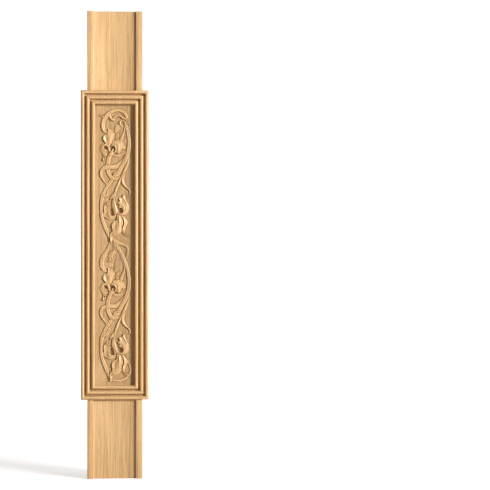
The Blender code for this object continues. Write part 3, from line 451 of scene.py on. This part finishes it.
    petal([(-4.1, 13.5), (-2.4, 14.6), (4.1, 15.6), (8.3, 15.2), (13.6, 12.4), (16.3, 11.2), (17.4, 10),
           (17.7, 7.8), (18.9, 5.5), (20.5, 3.2), (20.9, 1), (20.4, -0.6), (18.5, -1.9), (15.5, -2.9),
           (13.4, -3.7), (11.7, -8), (10.5, -8), (9.4, -10.4), (7.5, -11), (5.2, -9.8), (2.2, -8.6),
           (0.3, -8.2), (-1, -6.4), (-0.5, -4.7), (1, -3.2), (1.4, -1.2), (0.6, 1.3), (-1.3, 3.5),
           (-3.9, 4.5), (-6.4, 3.6), (-7.2, 4.6), (-6.6, 6.8), (-5.2, 9)],
          [(-3, 13, 2.7), (4, 14.6, 3), (9, 14.2, 3.2), (13, 11.8, 3.7), (16.8, 10, 3.5), (19.8, 2, 3.2),
           (19.6, -0.3, 3.3), (16, -2, 3.3), (13, -3.6, 3.1), (8, -10.2, 2.6), (3.5, -8.3, 2.5),
           (0, -7.4, 2.7), (0, -5.2, 3), (1.8, -1.5, 3.9), (1, 2.5, 3.9), (-6, 5, 3.1), (-4, 9, 3.4),
           (1, 10, 4), (7.3, 3, 4.8), (7.5, -3, 4.4), (6.3, -8, 3.3), (11, 5, 4.2), (11, -1, 3.8),
           (14.8, 5, 4), (4, 0, 4.1), (3.6, -4, 3.6)],
          veins=[([(-7, 4.2), (-5.5, 5), (-3, 5.3), (-0.2, 4.2), (1.5, 1.6), (2, -1.5), (0.6, -4.4),
                   (-0.2, -6.2)], 0.6, 0.7),
                 ([(-5, 7), (-1, 6.8), (2.5, 4.5), (3.9, 1), (3.6, -3.5), (2, -7.5)], -0.5, 0.9),
                 ([(0, 9.2), (5, 8), (9, 4.5)], 0.4, 0.7), ([(2, 12), (8, 10.5), (12.5, 7)], -0.4, 0.8),
                 ([(8.6, 5), (9.3, 0), (8.8, -5), (7.8, -9.5)], -0.3, 0.8),
                 ([(12.5, 10), (13.5, 5), (12, -1)], -0.25, 0.6),
                 ([(20.3, -0.5), (13.6, -3), (11.2, -8)], 0.7, 0.6),
                 ([(17.5, 0), (13.5, -0.9), (11.5, -3), (10.1, -8)], -0.7, 0.6)],
          ruffle=(0.18, 26, 3))

    # Leaves over the side flower
    petal([(0.3, 16.5), (1.3, 20), (1.3, 24), (2.3, 27.3), (4.3, 29.6), (10.2, 30.8), (10.4, 29.5),
           (8.6, 28.2), (7.1, 22), (7.9, 15.9), (4, 15.7)],
          [(2, 19, 0.9), (2.3, 24, 0.9), (9.5, 30.3, 1.5), (6, 25, 1.9), (5.9, 20, 2), (6.5, 16.5, 1.8),
           (3.8, 21, 1.1)])
    if first:
        petal([(0.3, 30), (-0.8, 35), (-0.3, 40), (1.8, 44.6), (5, 46.8), (8.3, 45.4), (10.8, 42),
               (12.6, 38), (10, 37), (8, 33.5), (5, 31), (2.5, 29.3)],
              [(1, 32, 1.2), (0.5, 38, 1.2), (5, 38, 1.5), (10.5, 40.5, 1.8), (7, 34.5, 1.3)])
        # Scroll that closes the row at the top
        blade([(-2, 54.5, 2.4, 2.6), (-7, 57, 2.6, 2.8), (-9.3, 62.5, 2.2, 2.8), (-7, 68.5, 1.9, 2.8),
               (-1, 71.2, 1.5, 2.6)], profile=(0.7, 1, 0.7))
        blade([(-14.5, 31.5, 2.4, 1.8), (-18, 32.5, 3.2, 2), (-21.5, 37, 3.6, 2.2), (-22.8, 44, 3.6, 2.3),
               (-22, 51, 3.8, 2.3), (-19, 58, 4.2, 2.4), (-14, 64.5, 4.2, 2.5), (-7, 70.5, 3.8, 2.6),
               (0, 73, 3.1, 2.6), (8, 73.3, 2.9, 2.6), (15, 71, 3, 2.6), (20.5, 66, 3, 2.5),
               (23, 59.5, 2.2, 2.3), (22, 54.5, 1, 2)],
              profile=(0.8, 1, 0.7), crest=-0.2, grooves=((0.1, 0.45, 0.18),))
        blade([(-3.5, 57.5, 1.6, 2.8), (0, 61, 2, 3), (5.5, 63.2, 1.9, 3), (11, 62, 1.9, 3),
               (15.5, 58.5, 2.2, 3), (20, 56.8, 1.8, 2.8)], profile=(0.55, 1, 0.55))
        blade([(12.5, 54, 1.2, 2.2), (10, 50.5, 1.9, 2.6), (10.3, 46, 2, 2.6), (13, 42.5, 1.5, 2.3)],
              profile=(0.55, 1, 0.55))
        blade([(28, 46.5, 0.8, 1.8), (27.8, 43.5, 1.5, 2.1), (26.2, 40, 1.5, 2.2), (26.8, 36, 1.2, 2.1),
               (29, 33, 0.8, 1.8)], profile=(0.55, 1, 0.55))
        blade([(-30, 64.2, 0.6, 1.6), (-26.5, 62.6, 1.5, 1.9), (-23, 61, 1.6, 2.1), (-20.5, 59, 1.2, 2.1)],
              profile=(0.55, 1, 0.55))
    else:
        petal([(-2.2, 35.5), (-1.7, 40), (-1.6, 45), (-0.6, 49.5), (1.5, 53), (4.5, 55), (7.5, 55.4),
               (9.2, 54.6), (8.8, 53.4), (6.5, 52.9), (4.6, 51.2), (3.9, 48.5), (4.2, 45), (5.2, 41),
               (5.6, 37.5), (5, 34), (0.5, 29.8), (-1.6, 31)],
              [(-1, 37, 0.9), (-0.8, 45, 0.9), (1.5, 51.5, 1), (5, 54, 1.5), (8.5, 54.5, 1.7), (3.2, 47, 2),
               (3.8, 42, 2), (0.5, 32, 1.2), (1.2, 42, 1.1)])
        # Stem and leaves that hang from the flower above
        blade([(-10.7, 90, 0.7, 1.5), (-11.4, 82, 1.7, 1.9), (-13, 76, 2.5, 2), (-16.3, 69, 3.3, 2.1),
               (-23.7, 55, 4.4, 2.3), (-25, 48, 4.4, 2.3), (-24.2, 41.5, 4.1, 2.2), (-21.5, 35.7, 3.7, 2.1),
               (-17.5, 32.2, 3, 2), (-14.6, 32, 1.8, 1.7)],
              profile=(0.8, 1, 0.7), crest=-0.3, grooves=((0.05, 0.5, 0.16), (0.5, 0.15, 0.2)))
        petal([(-2.6, 88.5), (-0.8, 88), (3.2, 76), (2.4, 67), (-1.5, 59.5), (-4, 56.3), (-5.5, 53.5),
               (-6.2, 51.3), (-7.8, 50.6), (-10.5, 49.8), (-14.6, 51), (-12.5, 52), (-11.6, 53),
               (-12.4, 56), (-13.3, 62.3), (-12, 65.2), (-9.3, 67.8), (-6.2, 69.6), (-4.4, 72.3),
               (-3.2, 80), (-3.3, 84.5)],
              [(-1.6, 87, 1.7), (1.4, 80, 2.5), (2.3, 74, 2.8), (1.8, 69, 2.8), (-2.6, 79, 1.2),
               (-1.8, 74, 1.4), (-1, 68, 2.8), (-6.5, 67.5, 2.4), (-11, 62, 1.3), (-9, 58, 2),
               (-10, 54, 1.6), (-2, 62, 2.6), (-2.5, 59, 2.1), (-5.6, 56.5, 2.8), (-12.5, 51, 2.2)],
              veins=[([(-0.8, 77.5), (0.1, 73), (0.9, 68.5)], -1.1, 0.5),
                     ([(-3.5, 66.5), (-8, 65), (-12.5, 60.5)], -0.6, 0.6),
                     ([(-7, 68.2), (-9.8, 65.4)], 0.5, 0.6),
                     ([(-1.5, 59.3), (-5, 58.8), (-7, 56.5), (-7.3, 51.5)], -1, 0.5),
                     ([(-1, 65), (-4.5, 61.5), (-8.5, 57)], -0.3, 0.6),
                     ([(-14, 51), (-10.5, 50.7), (-7.5, 51.6)], 0.4, 0.6)])
        blade([(-3.8, 93.5, 2, 1.8), (1.5, 89.7, 3.2, 2.1), (8, 86.1, 3.5, 2.2), (14, 84.1, 3.1, 2.2),
               (19.5, 82.3, 2.8, 2.2), (23.7, 78.6, 2.7, 2.2), (25.1, 73, 2.4, 2.2), (24.8, 67.5, 2.3, 2.1),
               (23.6, 62, 1.9, 2), (23.5, 57, 1.6, 1.9), (25.3, 53.2, 1.3, 1.8), (28.8, 51.8, 0.6, 1.5)],
              profile=(0.75, 1, 0.75), grooves=((-0.33, 0.4, 0.13), (0.33, 0.4, 0.13)))

    # Bracts on the hanging flower's stem
    petal([(-10.4, -74.5), (-8.8, -77), (-8.4, -81), (-9.1, -85.5), (-11, -90), (-14, -93), (-18, -94.7),
           (-21, -94.6), (-24.4, -92.6), (-22.3, -91.3), (-19.5, -90.3), (-18.8, -89), (-14.8, -81.5),
           (-12.6, -78)],
          [(-9.3, -82, 2.6), (-17.5, -93.5, 2.8), (-23, -92.7, 2.4), (-12.8, -81, 2.6), (-14, -86, 2.8),
           (-17.5, -88, 2.6), (-16.5, -91, 3), (-20.5, -91.5, 2.8)],
          veins=[([(-11, -76.5), (-12.4, -84), (-13.1, -87)], -0.8, 0.5),
                 ([(-14.3, -82), (-16, -85.6), (-17.5, -88.8)], -0.8, 0.45),
                 ([(-9, -83), (-11, -88.5), (-15, -92.5), (-20, -93.8)], 0.3, 0.8)])
    petal([(2.7, -83), (-3, -85.8), (-6.5, -90.6), (-9, -94.4), (-10, -98.9), (-8.8, -99.7), (-7.6, -98.4),
           (-6.2, -97.2), (-4, -96.2), (-2.6, -94.6), (-1.6, -92), (0.4, -87.8)],
          [(0.5, -85, 2.5), (-3.5, -88, 2), (-7.5, -93.8, 1.8), (-5, -95.3, 2.4), (-2.5, -91.5, 2.6),
           (-4.5, -91.5, 2.4), (-6.8, -95.6, 2.2)])

    # Hanging flower: right fall, right petal, left petal and its turned-over lip, calyx, front fall
    petal([(11.4, -128.6), (15.2, -129.2), (17.5, -130.7), (23.9, -138.7), (24.9, -141.7), (24.7, -144.8),
           (23.5, -148.6), (20.5, -155.4), (19.7, -158.5), (19.9, -160.6), (21.2, -162.8), (22, -164.5),
           (23.9, -165.3), (25.8, -166.8), (27.7, -167.4), (28.8, -168.4), (28.1, -169.9), (25.8, -170.6),
           (19.4, -169.1), (14.8, -163), (14.1, -157.3), (15.5, -150.1), (17.1, -146.7), (17.3, -140.2),
           (14.8, -134.5), (12.9, -131.9)],
          [(12.5, -130, 2.4), (17.5, -131.8, 2.6), (15.5, -132.5, 3), (19, -134.5, 3.2), (22.5, -138, 2.4),
           (24, -143, 2.2), (20.5, -142, 3.2), (22.5, -149.5, 2.2), (16, -153, 3.3), (20, -155, 2.2),
           (15.2, -157.5, 2.9), (18.5, -159, 2.6), (15.3, -162.5, 1.5), (20.5, -163.5, 2.6),
           (22, -168.5, 1.7), (25, -168, 2.6), (28, -168.7, 2.6), (26, -170, 1.7)],
          veins=[([(15, -131.5), (17.5, -135.5), (18.7, -140), (18.4, -145), (16.9, -150), (16.2, -156)],
                  0.3, 0.9),
                 ([(19.8, -159.5), (20.8, -163), (23.5, -166), (27.8, -168.3)], 0.5, 0.7),
                 ([(17.5, -132), (21, -138.5), (21.3, -145), (19, -153)], -0.35, 0.9)])
    petal([(16.3, -88.2), (18.3, -88.3), (20.5, -87.9), (20.7, -94.6), (21.3, -97.3), (23.2, -100.7),
           (27, -108.3), (27.9, -112.1), (27.5, -120.5), (23.2, -126.9), (16.7, -129.6), (13, -128.6),
           (9.9, -128.2), (2.7, -125), (3.6, -121.5), (6, -122.6), (8, -124.2), (11, -125), (13.7, -124.4),
           (15.6, -122.4), (16.2, -120.1), (14.1, -115.5), (8, -114), (7.3, -112.9), (7.6, -111.7),
           (9.2, -110.4), (8.9, -108.9), (6.8, -107.5), (5.8, -106), (6.1, -104.1), (7.6, -102.6),
           (9.5, -101.6), (9.1, -100.3), (7.9, -98.8), (7.9, -96.5), (9.5, -95), (12.2, -94.4),
           (14.1, -93.1), (15, -91.2), (15.5, -89)],
          [(16.7, -89.2, 2.6), (20, -89, 2.8), (18.5, -92, 2.6), (20.1, -95, 2.3), (16.3, -94, 3),
           (9, -96.5, 2.9), (9.2, -99, 2.9), (12.5, -96, 2.1), (14, -99, 1.9), (17, -102, 2),
           (20, -106, 2.3), (19.5, -99.5, 3.2), (22.5, -104.5, 3.1), (24.5, -110, 3), (22, -99.2, 2.5),
           (26, -106.8, 2.3), (27.2, -113, 2.3), (18, -128.4, 2.1), (10, -127.3, 2.3), (4, -124, 2.3),
           (8, -107.4, 2.7), (12, -104.5, 3), (16, -108, 3.3), (18.3, -112, 3.6), (21, -109, 2.8),
           (17.5, -126, 2.9), (14, -113, 2.6), (17.3, -117, 3.6), (14.7, -125.4, 3.1)],
          veins=[([(9, -98), (14, -101), (18, -105), (20.6, -109), (22, -114), (21.8, -120)], 0.4, 0.8),
                 ([(12, -96), (14.8, -99), (18.5, -103), (23.8, -114), (23.5, -121)], -0.5, 0.8),
                 ([(10, -103), (15, -105.5), (18.3, -109), (20, -114), (19.6, -120)], -0.45, 0.7),
                 ([(8, -108), (12, -109.5), (15.5, -112.5), (17, -115)], -0.3, 0.6),
                 ([(19.4, -91), (19.8, -96.5), (22, -102), (25.2, -109), (25, -121), (21, -126)],
                  -0.35, 0.7),
                 ([(16.6, -90), (16.7, -94.5), (18.5, -99), (21.4, -103.5), (23.6, -108.5)], 0.35, 0.8)])
    petal([(-11.8, -103.2), (-13.3, -102.7), (-14.8, -103.5), (-16.3, -104.2), (-19.4, -109.1),
           (-21.1, -111.7), (-21.8, -117), (-20.7, -122.4), (-22.8, -125), (-22.4, -130.7), (-21.3, -132.5),
           (-18.6, -133), (-16.7, -134.5), (-11, -137.6), (0, -136), (2.3, -131.1), (3, -127.6),
           (-2.7, -129.8), (-5.3, -130.1), (-7.6, -129.2), (-9.3, -127.3), (-9.9, -124.3), (-8.2, -117.4),
           (-8.4, -114.4), (-9.5, -112.5), (-13.4, -108.7), (-13.7, -106.8), (-12.8, -105), (-11.6, -104.2)],
          [(-12.5, -103.6, 2.5), (-18.3, -108.2, 1.8), (-20.8, -112.5, 2.2), (-21.2, -117, 2.2),
           (-20.2, -121.5, 2.4), (-22, -126.5, 1.7), (-9, -136.5, 2), (-2, -135.6, 1.8),
           (-14.6, -108.5, 2.9), (-9.3, -114.5, 2.9), (-9.2, -118, 2.9), (-17, -111, 1.9),
           (-18.5, -117.5, 2.5), (-17, -122, 2.1), (-18, -127, 2.2), (-14, -131.5, 1.9)],
          veins=[([(-12.4, -103.5), (-14.6, -105.2), (-14.9, -108), (-13.1, -110.5), (-10, -113.2),
                   (-9, -116.5)], 0.5, 0.7),
                 ([(-17.2, -105.5), (-17.3, -109.5), (-15.5, -112.5), (-12.5, -114.8)], -0.5, 0.9),
                 ([(-21, -113), (-18.5, -117), (-17.5, -121.5)], -0.35, 0.7),
                 ([(-22.3, -127), (-19, -125.5), (-16.5, -123)], -0.4, 0.7),
                 ([(-21, -131), (-17.5, -131), (-15, -129)], -0.3, 0.7)], ruffle=(0.15, 26, 2.5))
    petal([(-9, -118), (-12.1, -118.8), (-14.3, -120.8), (-14.6, -123.2), (-13.6, -124.9), (-15.5, -127.2),
           (-15.3, -129.2), (-13.3, -130.4), (-11, -134), (-8.5, -134.6), (-1, -132.4), (3, -127.4),
           (-1.1, -128.9), (-2.7, -129.7), (-5.3, -130), (-7.6, -129.1), (-9.2, -127.3), (-9.8, -124.3),
           (-9.1, -121), (-8.4, -119)],
          [(-10, -119.5, 2.9), (-14.3, -127.8, 3.2), (-11.5, -127, 3.8), (-9.5, -130.5, 3.5),
           (-9, -133.8, 2.6), (-1, -130.9, 2.7)],
          veins=[([(-13.8, -124.8), (-11.5, -125.6)], -0.4, 0.6),
                 ([(-13.2, -130.6), (-10.8, -129.2)], -0.3, 0.6)])
    petal([(-0.9, -90), (-2.2, -93), (-4.9, -100), (-6.1, -108.5), (-5.7, -112), (-2.5, -120.5),
           (-1.8, -124.3), (-1.6, -127), (0.5, -128.2), (2.6, -127.6), (3.6, -125.4), (5, -123.6),
           (5.9, -121), (2.7, -108.7), (1.1, -104.5), (0.4, -99.2), (0.8, -94), (1.3, -90)],
          [(-2.8, -97, 2.2), (-0.6, -98, 2.9), (-5, -104, 2.2), (-1.2, -104, 3), (0.4, -103, 2.6),
           (-5.2, -110, 2.2), (-1, -110, 3.2), (2, -109, 3), (-3.4, -116, 2.4), (0.8, -116, 3.3),
           (3.8, -115, 3), (-1, -123, 2.3), (2.2, -121, 3.3), (4.8, -120.8, 3), (1, -127, 2.6)],
          veins=[([(-0.3, -92), (-0.8, -99), (-0.4, -105), (2.3, -119), (3, -126)], 0.4, 0.7)])
    petal([(3, -127.6), (3.7, -130.7), (3.9, -133.4), (2.7, -138.2), (-1.9, -140.3), (-3.8, -142.5),
           (-6.3, -148.6), (-4.7, -156.9), (-5.1, -159), (-10.3, -165.7), (-9.9, -172.5), (-9.4, -174.6),
           (-9.6, -177.8), (-9.1, -180.1), (-7.2, -180.9), (-5.1, -180.5), (-4.6, -179), (-5.1, -176.3),
           (-4.2, -172.5), (0.4, -169.5), (4.2, -168), (9.9, -164.9), (11.8, -162.6), (13.5, -158.2),
           (13.3, -155.4), (13.5, -152.4), (14.4, -149.3), (15.6, -146.3), (15.6, -140.2), (14, -134.9),
           (12.5, -132.6), (11, -129.6), (6, -128)],
          [(7, -129.8, 3.4), (4.7, -134, 2.7), (-1, -141, 2.5), (-4.2, -145, 2.9), (-5.6, -150, 3.1),
           (-4.8, -159.5, 2.8), (-8.5, -164, 2.6), (-9.5, -169, 2.4), (0.5, -147, 2.8), (0, -153, 2.9),
           (4.7, -139.5, 2.9), (8, -136, 4.3), (8.5, -142, 4.7), (8, -149, 4.8), (7, -156, 4.6),
           (12, -133.5, 3.3), (14.9, -144, 4), (13.2, -151, 4), (12, -160.5, 3.9), (10.5, -163.4, 4.3),
           (6, -165.3, 4.5), (1.5, -167.8, 4.1), (-8, -172.5, 4.2), (-5.4, -174, 3), (-8.3, -177, 4.2),
           (-5.8, -178, 3.1), (-7.2, -180.3, 3)],
          veins=[([(11.8, -161.3), (8, -162.5), (4.9, -163), (0.4, -165.4), (-0.6, -167.1)], -0.9, 0.5),
                 ([(-0.6, -167.1), (-4.9, -167.4), (-6.8, -168.8), (-7.7, -171), (-8.9, -174)], -0.9, 0.5),
                 ([(7.8, -130), (8.3, -137), (8, -150)], 0.45, 0.8),
                 ([(6, -131), (5.7, -137), (0.6, -147), (0.3, -158)], -0.5, 1.8),
                 ([(10.3, -131), (11.3, -138), (11.5, -145), (11, -154)], -0.35, 0.8),
                 ([(13, -134.5), (14.4, -140), (14.3, -146), (12.8, -153)], 0.3, 0.7),
                 ([(5.8, -139), (5.2, -153), (5.8, -160)], -0.22, 0.6),
                 ([(-3, -144), (-3.3, -151), (-2, -158)], -0.3, 0.7)])
    # The dark openings: the throat and small curl of the side flower, and two in the hanging flower
    for centre, radii in (((-3.9, -0.6), (5.2, 5.2)), ((-18.7, 1.3), (3.6, 3.6)),
                          ((11.2, -120), (5.6, 5.6)), ((-5.8, -122.5), (4.4, 7.6))):
        hollow(centre, radii, HOLLOW_FLOOR)
    if last:
        # Leaf that closes the row at the foot
        blade([(-8, -177.5, 1.4, 1.8), (-2, -178.6, 1.9, 2), (6, -179.3, 2.3, 2.1), (14, -178, 2.5, 2.1),
               (22, -174, 2.5, 2.1), (28, -167, 2.5, 2.1), (30.3, -158.5, 2.2, 2), (28.8, -150.5, 1.8, 1.9),
               (26, -144, 1.5, 1.8), (26.5, -139.5, 1.3, 1.7), (31, -135.8, 0.7, 1.4)],
              profile=(0.7, 1, 0.7), grooves=((0, 0.3, 0.3),))


carve_iris(UPPER_IRIS, True, False)
carve_iris(LOWER_IRIS, False, True)

rows, columns = relief.shape
across, up = np.meshgrid(u_line / MILLIMETRES, FIELD_BOTTOM + t_line / MILLIMETRES)
points = np.stack([across, -CORE_HALF - relief * RELIEF_STEP, up], axis=-1).reshape(-1, 3)
corner = np.arange(rows * columns).reshape(rows, columns)
faces = np.stack([corner[:-1, :-1], corner[:-1, 1:], corner[1:, 1:], corner[1:, :-1]], axis=-1).reshape(-1, 4)
mesh = bpy.data.meshes.new("ground")
mesh.from_pydata(points, [], faces)
ground = bpy.data.objects.new("ground", mesh)
bpy.context.collection.objects.link(ground)
work(ground, "DECIMATE", ratio=CARVING_TRIANGLES / (2 * len(faces)), use_collapse_triangulate=True)
carved = bmesh.new()
carved.from_mesh(ground.data)
rim = [edge for edge in carved.edges if edge.is_boundary]
lowered = bmesh.ops.extrude_edge_only(carved, edges=rim)["geom"]
for vert in (item for item in lowered if isinstance(item, bmesh.types.BMVert)):
    vert.co.y = -CORE_HALF + POCKET_DEPTH + WALL_GRIP
bmesh.ops.holes_fill(carved, edges=[edge for edge in carved.edges if edge.is_boundary], sides=0)
bmesh.ops.recalc_face_normals(carved, faces=carved.faces)
carved.to_mesh(ground.data)
carved.free()

# The ground is let 1 mm into the pocket's walls and its floor
pocket = block("pocket", (-FIELD_WIDTH / 2, -CORE_HALF - WALL_GRIP, FIELD_BOTTOM),
               (FIELD_WIDTH / 2, -CORE_HALF + POCKET_DEPTH, FIELD_BOTTOM + FIELD_HEIGHT))
combine(baluster, pocket, "DIFFERENCE")
combine(baluster, ground, "UNION")
deselect()
baluster.select_set(True)
bpy.context.view_layer.objects.active = baluster
bpy.ops.object.shade_smooth_by_angle(angle=CREASE)

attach(baluster, "root")
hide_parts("baluster")

# The oak: sanded bare European oak, quarter to half sawn, with the grain upright.
# It gives the eye a warm straw colour, fine upright streaks and pore lines, and a dull
# sheen along the crowns of the reeds. The sunk ground of the front field is painted
# darker: painted shade.


def colour(code):
    """A linear colour from an sRGB hex code."""
    parts = [int(code[i:i + 2], 16) / 255 for i in (1, 3, 5)]
    return [c / 12.92 if c <= 0.04045 else ((c + 0.055) / 1.055) ** 2.4 for c in parts] + [1.0]


def add(tree, kind, settings=None, **links):
    """Adds one node; settings fill its properties and sockets, links feed its sockets."""
    node = tree.nodes.new(kind)
    for key, value in (settings or {}).items():
        if isinstance(key, int) or key in node.inputs:
            node.inputs[key].default_value = value
        else:
            setattr(node, key, value)
    for key, source in links.items():
        numbered = key[0] == "i" and key[1:].isdigit()
        tree.links.new(source, node.inputs[int(key[1:]) if numbered else key.replace("_", " ")])
    return node


# Painted shade on the front field's sunk ground: how much darker it is painted, the height above the ground
# up to which the darkening is full, and the height at which it has faded out
GROUND_PAINTED_SHADE = 0.22
FULL_SHADE_BELOW = 0.0005
NO_SHADE_ABOVE = 0.0025

oak = bpy.data.materials.new("sanded_oak")
oak.use_nodes = True
tree = oak.node_tree
wood = tree.nodes["Principled BSDF"]
place = add(tree, "ShaderNodeTexCoord").outputs["Object"]

# Growth figure: bands about 9 mm apart, drawn out upright and a little wavy
upright = add(tree, "ShaderNodeMapping", {"Scale": (1.0, 1.0, 0.09)}, Vector=place).outputs["Vector"]
figure = add(tree, "ShaderNodeTexNoise", {"Scale": 75.0, "Detail": 3.0, "Roughness": 0.55, "Distortion": 0.4},
             Vector=upright).outputs["Fac"]
# Streaks: 2 to 3 mm wide, drawn thirty times as long, as coarse as the render can show
fine = add(tree, "ShaderNodeMapping", {"Scale": (1.0, 1.0, 0.016)}, Vector=place).outputs["Vector"]
streaks = add(tree, "ShaderNodeTexNoise", {"Scale": 640.0, "Detail": 2.0, "Roughness": 0.6},
              Vector=fine).outputs["Fac"]
# Pores: dark dashes under a millimetre wide and a centimetre long
pore_place = add(tree, "ShaderNodeMapping", {"Scale": (1.0, 1.0, 0.06)}, Vector=place).outputs["Vector"]
pores = add(tree, "ShaderNodeTexNoise", {"Scale": 1100.0, "Detail": 1.0}, Vector=pore_place).outputs["Fac"]

tone = add(tree, "ShaderNodeValToRGB", Fac=figure)
tone.color_ramp.elements[0].position = 0.33
tone.color_ramp.elements[0].color = colour("#caa577")
tone.color_ramp.elements[1].position = 0.66
tone.color_ramp.elements[1].color = colour("#d0ae81")
streak_tone = add(tree, "ShaderNodeMapRange",
                  {"From Min": 0.36, "From Max": 0.58, "To Min": 0.75, "To Max": 1.07},
                  Value=streaks).outputs["Result"]
pore_tone = add(tree, "ShaderNodeMapRange",
                {"From Min": 0.30, "From Max": 0.42, "To Min": 0.82, "To Max": 1.0},
                Value=pores).outputs["Result"]
grain = add(tree, "ShaderNodeMath", {"operation": "MULTIPLY"}, i0=streak_tone, i1=pore_tone)

# Painted shade: the front field's tooled ground is painted darker than the planed and sanded
# wood above it, standing in for the shade in the sunk panel; the darkening fades out over the
# carving's lowest few millimetres
part = add(tree, "ShaderNodeSeparateXYZ", Vector=place).outputs
painted_shade = add(tree, "ShaderNodeMapRange",
              {"From Min": -CORE_HALF - NO_SHADE_ABOVE, "From Max": -CORE_HALF - FULL_SHADE_BELOW,
               "To Max": GROUND_PAINTED_SHADE}, Value=part["Y"]).outputs["Result"]
limits = (add(tree, "ShaderNodeMath", {"operation": "COMPARE", 1: 0.0, 2: FIELD_WIDTH / 2}, i0=part["X"]),
          add(tree, "ShaderNodeMath", {"operation": "LESS_THAN", 1: 0.0}, i0=part["Y"]),
          add(tree, "ShaderNodeMath", {"operation": "COMPARE", 1: TOTAL_HEIGHT / 2, 2: FIELD_HEIGHT / 2},
              i0=part["Z"]))
for limit in limits:
    painted_shade = add(tree, "ShaderNodeMath", {"operation": "MULTIPLY"}, i0=painted_shade,
                  i1=limit.outputs["Value"]).outputs["Value"]
# One less the painted shade; together with the grain it darkens the base colour, and it also drives the bump
unshaded = add(tree, "ShaderNodeMath", {"operation": "SUBTRACT", 0: 1.0}, i1=painted_shade).outputs["Value"]
shade = add(tree, "ShaderNodeMath", {"operation": "MULTIPLY"}, i0=grain.outputs["Value"],
            i1=unshaded).outputs["Value"]
shaded = add(tree, "ShaderNodeVectorMath", {"operation": "SCALE"}, i0=tone.outputs["Color"],
             Scale=shade).outputs["Vector"]
tree.links.new(shaded, wood.inputs["Base Color"])
wood.inputs["Roughness"].default_value = 0.36
wood.inputs["IOR"].default_value = 1.5
bump = add(tree, "ShaderNodeBump", {"Strength": 0.25, "Distance": 0.0003}, Height=shade)
tree.links.new(bump.outputs["Normal"], wood.inputs["Normal"])
baluster.data.materials.clear()
baluster.data.materials.append(oak)

# The studio: a white floor, an even white surround, two low lights at the right that rake
# across the carving, and a weak one behind. The camera stands square to the baluster at
# half its height, turned a little to the right, and PIXEL is the size that one pixel shows.

DISTANCE = 3.3
PIXEL = 0.001935
CENTRE_HEIGHT = TOTAL_HEIGHT / 2
FRAME_PIXELS = 490
OFF_CENTRE = 130.6
SENSOR = 36
FLOOR_SIZE = 4000

deselect()
bpy.ops.mesh.primitive_plane_add(size=FLOOR_SIZE, location=(0, 0, 0))
floor = bpy.context.object
floor.name = "floor"
white = bpy.data.materials.new("white_floor")
white.use_nodes = True
paint = white.node_tree.nodes["Principled BSDF"]
paint.inputs["Base Color"].default_value = colour("#dadce4")
paint.inputs["Roughness"].default_value = 0.9
paint.inputs["Specular IOR Level"].default_value = 0.0
paint.inputs["Emission Color"].default_value = (1, 1, 1, 1)

# It brightens behind the baluster, as a sweep lit from behind does, so no horizon shows
from_foot = add(white.node_tree, "ShaderNodeVectorMath", {"operation": "LENGTH"},
                i0=add(white.node_tree, "ShaderNodeTexCoord").outputs["Object"])
sweep = add(white.node_tree, "ShaderNodeMapRange",
            {"From Min": 1.2, "From Max": 2.6, "To Min": 0.51, "To Max": 1.1},
            Value=from_foot.outputs["Value"])
white.node_tree.links.new(sweep.outputs["Result"], paint.inputs["Emission Strength"])

# The camera sees it lit from within, and the baluster gets only a plain floor's light
bare = add(white.node_tree, "ShaderNodeBsdfDiffuse", {"Color": colour("#c8c0b4")}).outputs["BSDF"]
seen = add(white.node_tree, "ShaderNodeLightPath").outputs["Is Camera Ray"]
floor_mix = add(white.node_tree, "ShaderNodeMixShader", i0=seen, i1=bare, i2=paint.outputs["BSDF"])
white.node_tree.links.new(floor_mix.outputs["Shader"],
                          white.node_tree.nodes["Material Output"].inputs["Surface"])
floor.data.materials.append(white)

scene = bpy.context.scene
world = bpy.data.worlds.new("surround")
scene.world = world
world.use_nodes = True
air = world.node_tree
air.nodes.clear()
rays = add(air, "ShaderNodeLightPath").outputs["Is Camera Ray"]
seen = add(air, "ShaderNodeBackground", {"Color": (1, 1, 1, 1), "Strength": 1.05})
glow = add(air, "ShaderNodeBackground", {"Color": (1.0, 0.85, 0.68, 1), "Strength": 0.24})
mixed = add(air, "ShaderNodeMixShader", i0=rays, i1=glow.outputs["Background"],
            i2=seen.outputs["Background"]).outputs["Shader"]
add(air, "ShaderNodeOutputWorld", Surface=mixed)

LIGHT_DISTANCE = 6.0


def softbox(name, turn, rise, size, energy):
    """A round soft light aimed at the baluster's middle; turn is to the right of the camera, rise
    above level."""
    turn, rise = math.radians(turn), math.radians(rise)
    light = bpy.data.lights.new(name, "AREA")
    light.shape = "DISK"
    light.size = size
    light.energy = energy
    light.color = (1.0, 0.97, 0.92)
    lamp = bpy.data.objects.new(name, light)
    bpy.context.scene.collection.objects.link(lamp)
    level = LIGHT_DISTANCE * math.cos(rise)
    lamp.location = (level * math.sin(turn), -level * math.cos(turn),
                     CENTRE_HEIGHT + LIGHT_DISTANCE * math.sin(rise))
    lamp.rotation_euler = (math.pi / 2 - rise, 0, turn)


softbox("key", 45, 14, 1.8, 480)
softbox("side", 70, 12, 2.0, 135)
softbox("back", 205, 30, 2.6, 105)

camera = bpy.data.objects.new("camera", bpy.data.cameras.new("camera"))
scene.collection.objects.link(camera)
turn = math.atan(OFF_CENTRE * PIXEL / DISTANCE)
camera.location = (0, -DISTANCE, CENTRE_HEIGHT)
camera.rotation_euler = (math.radians(90), 0, -turn)
camera.data.clip_end = FLOOR_SIZE
camera.data.sensor_width = SENSOR
camera.data.lens = SENSOR * DISTANCE * math.cos(turn) / (FRAME_PIXELS * PIXEL)
scene.camera = camera
scene.view_settings.view_transform = "Standard"
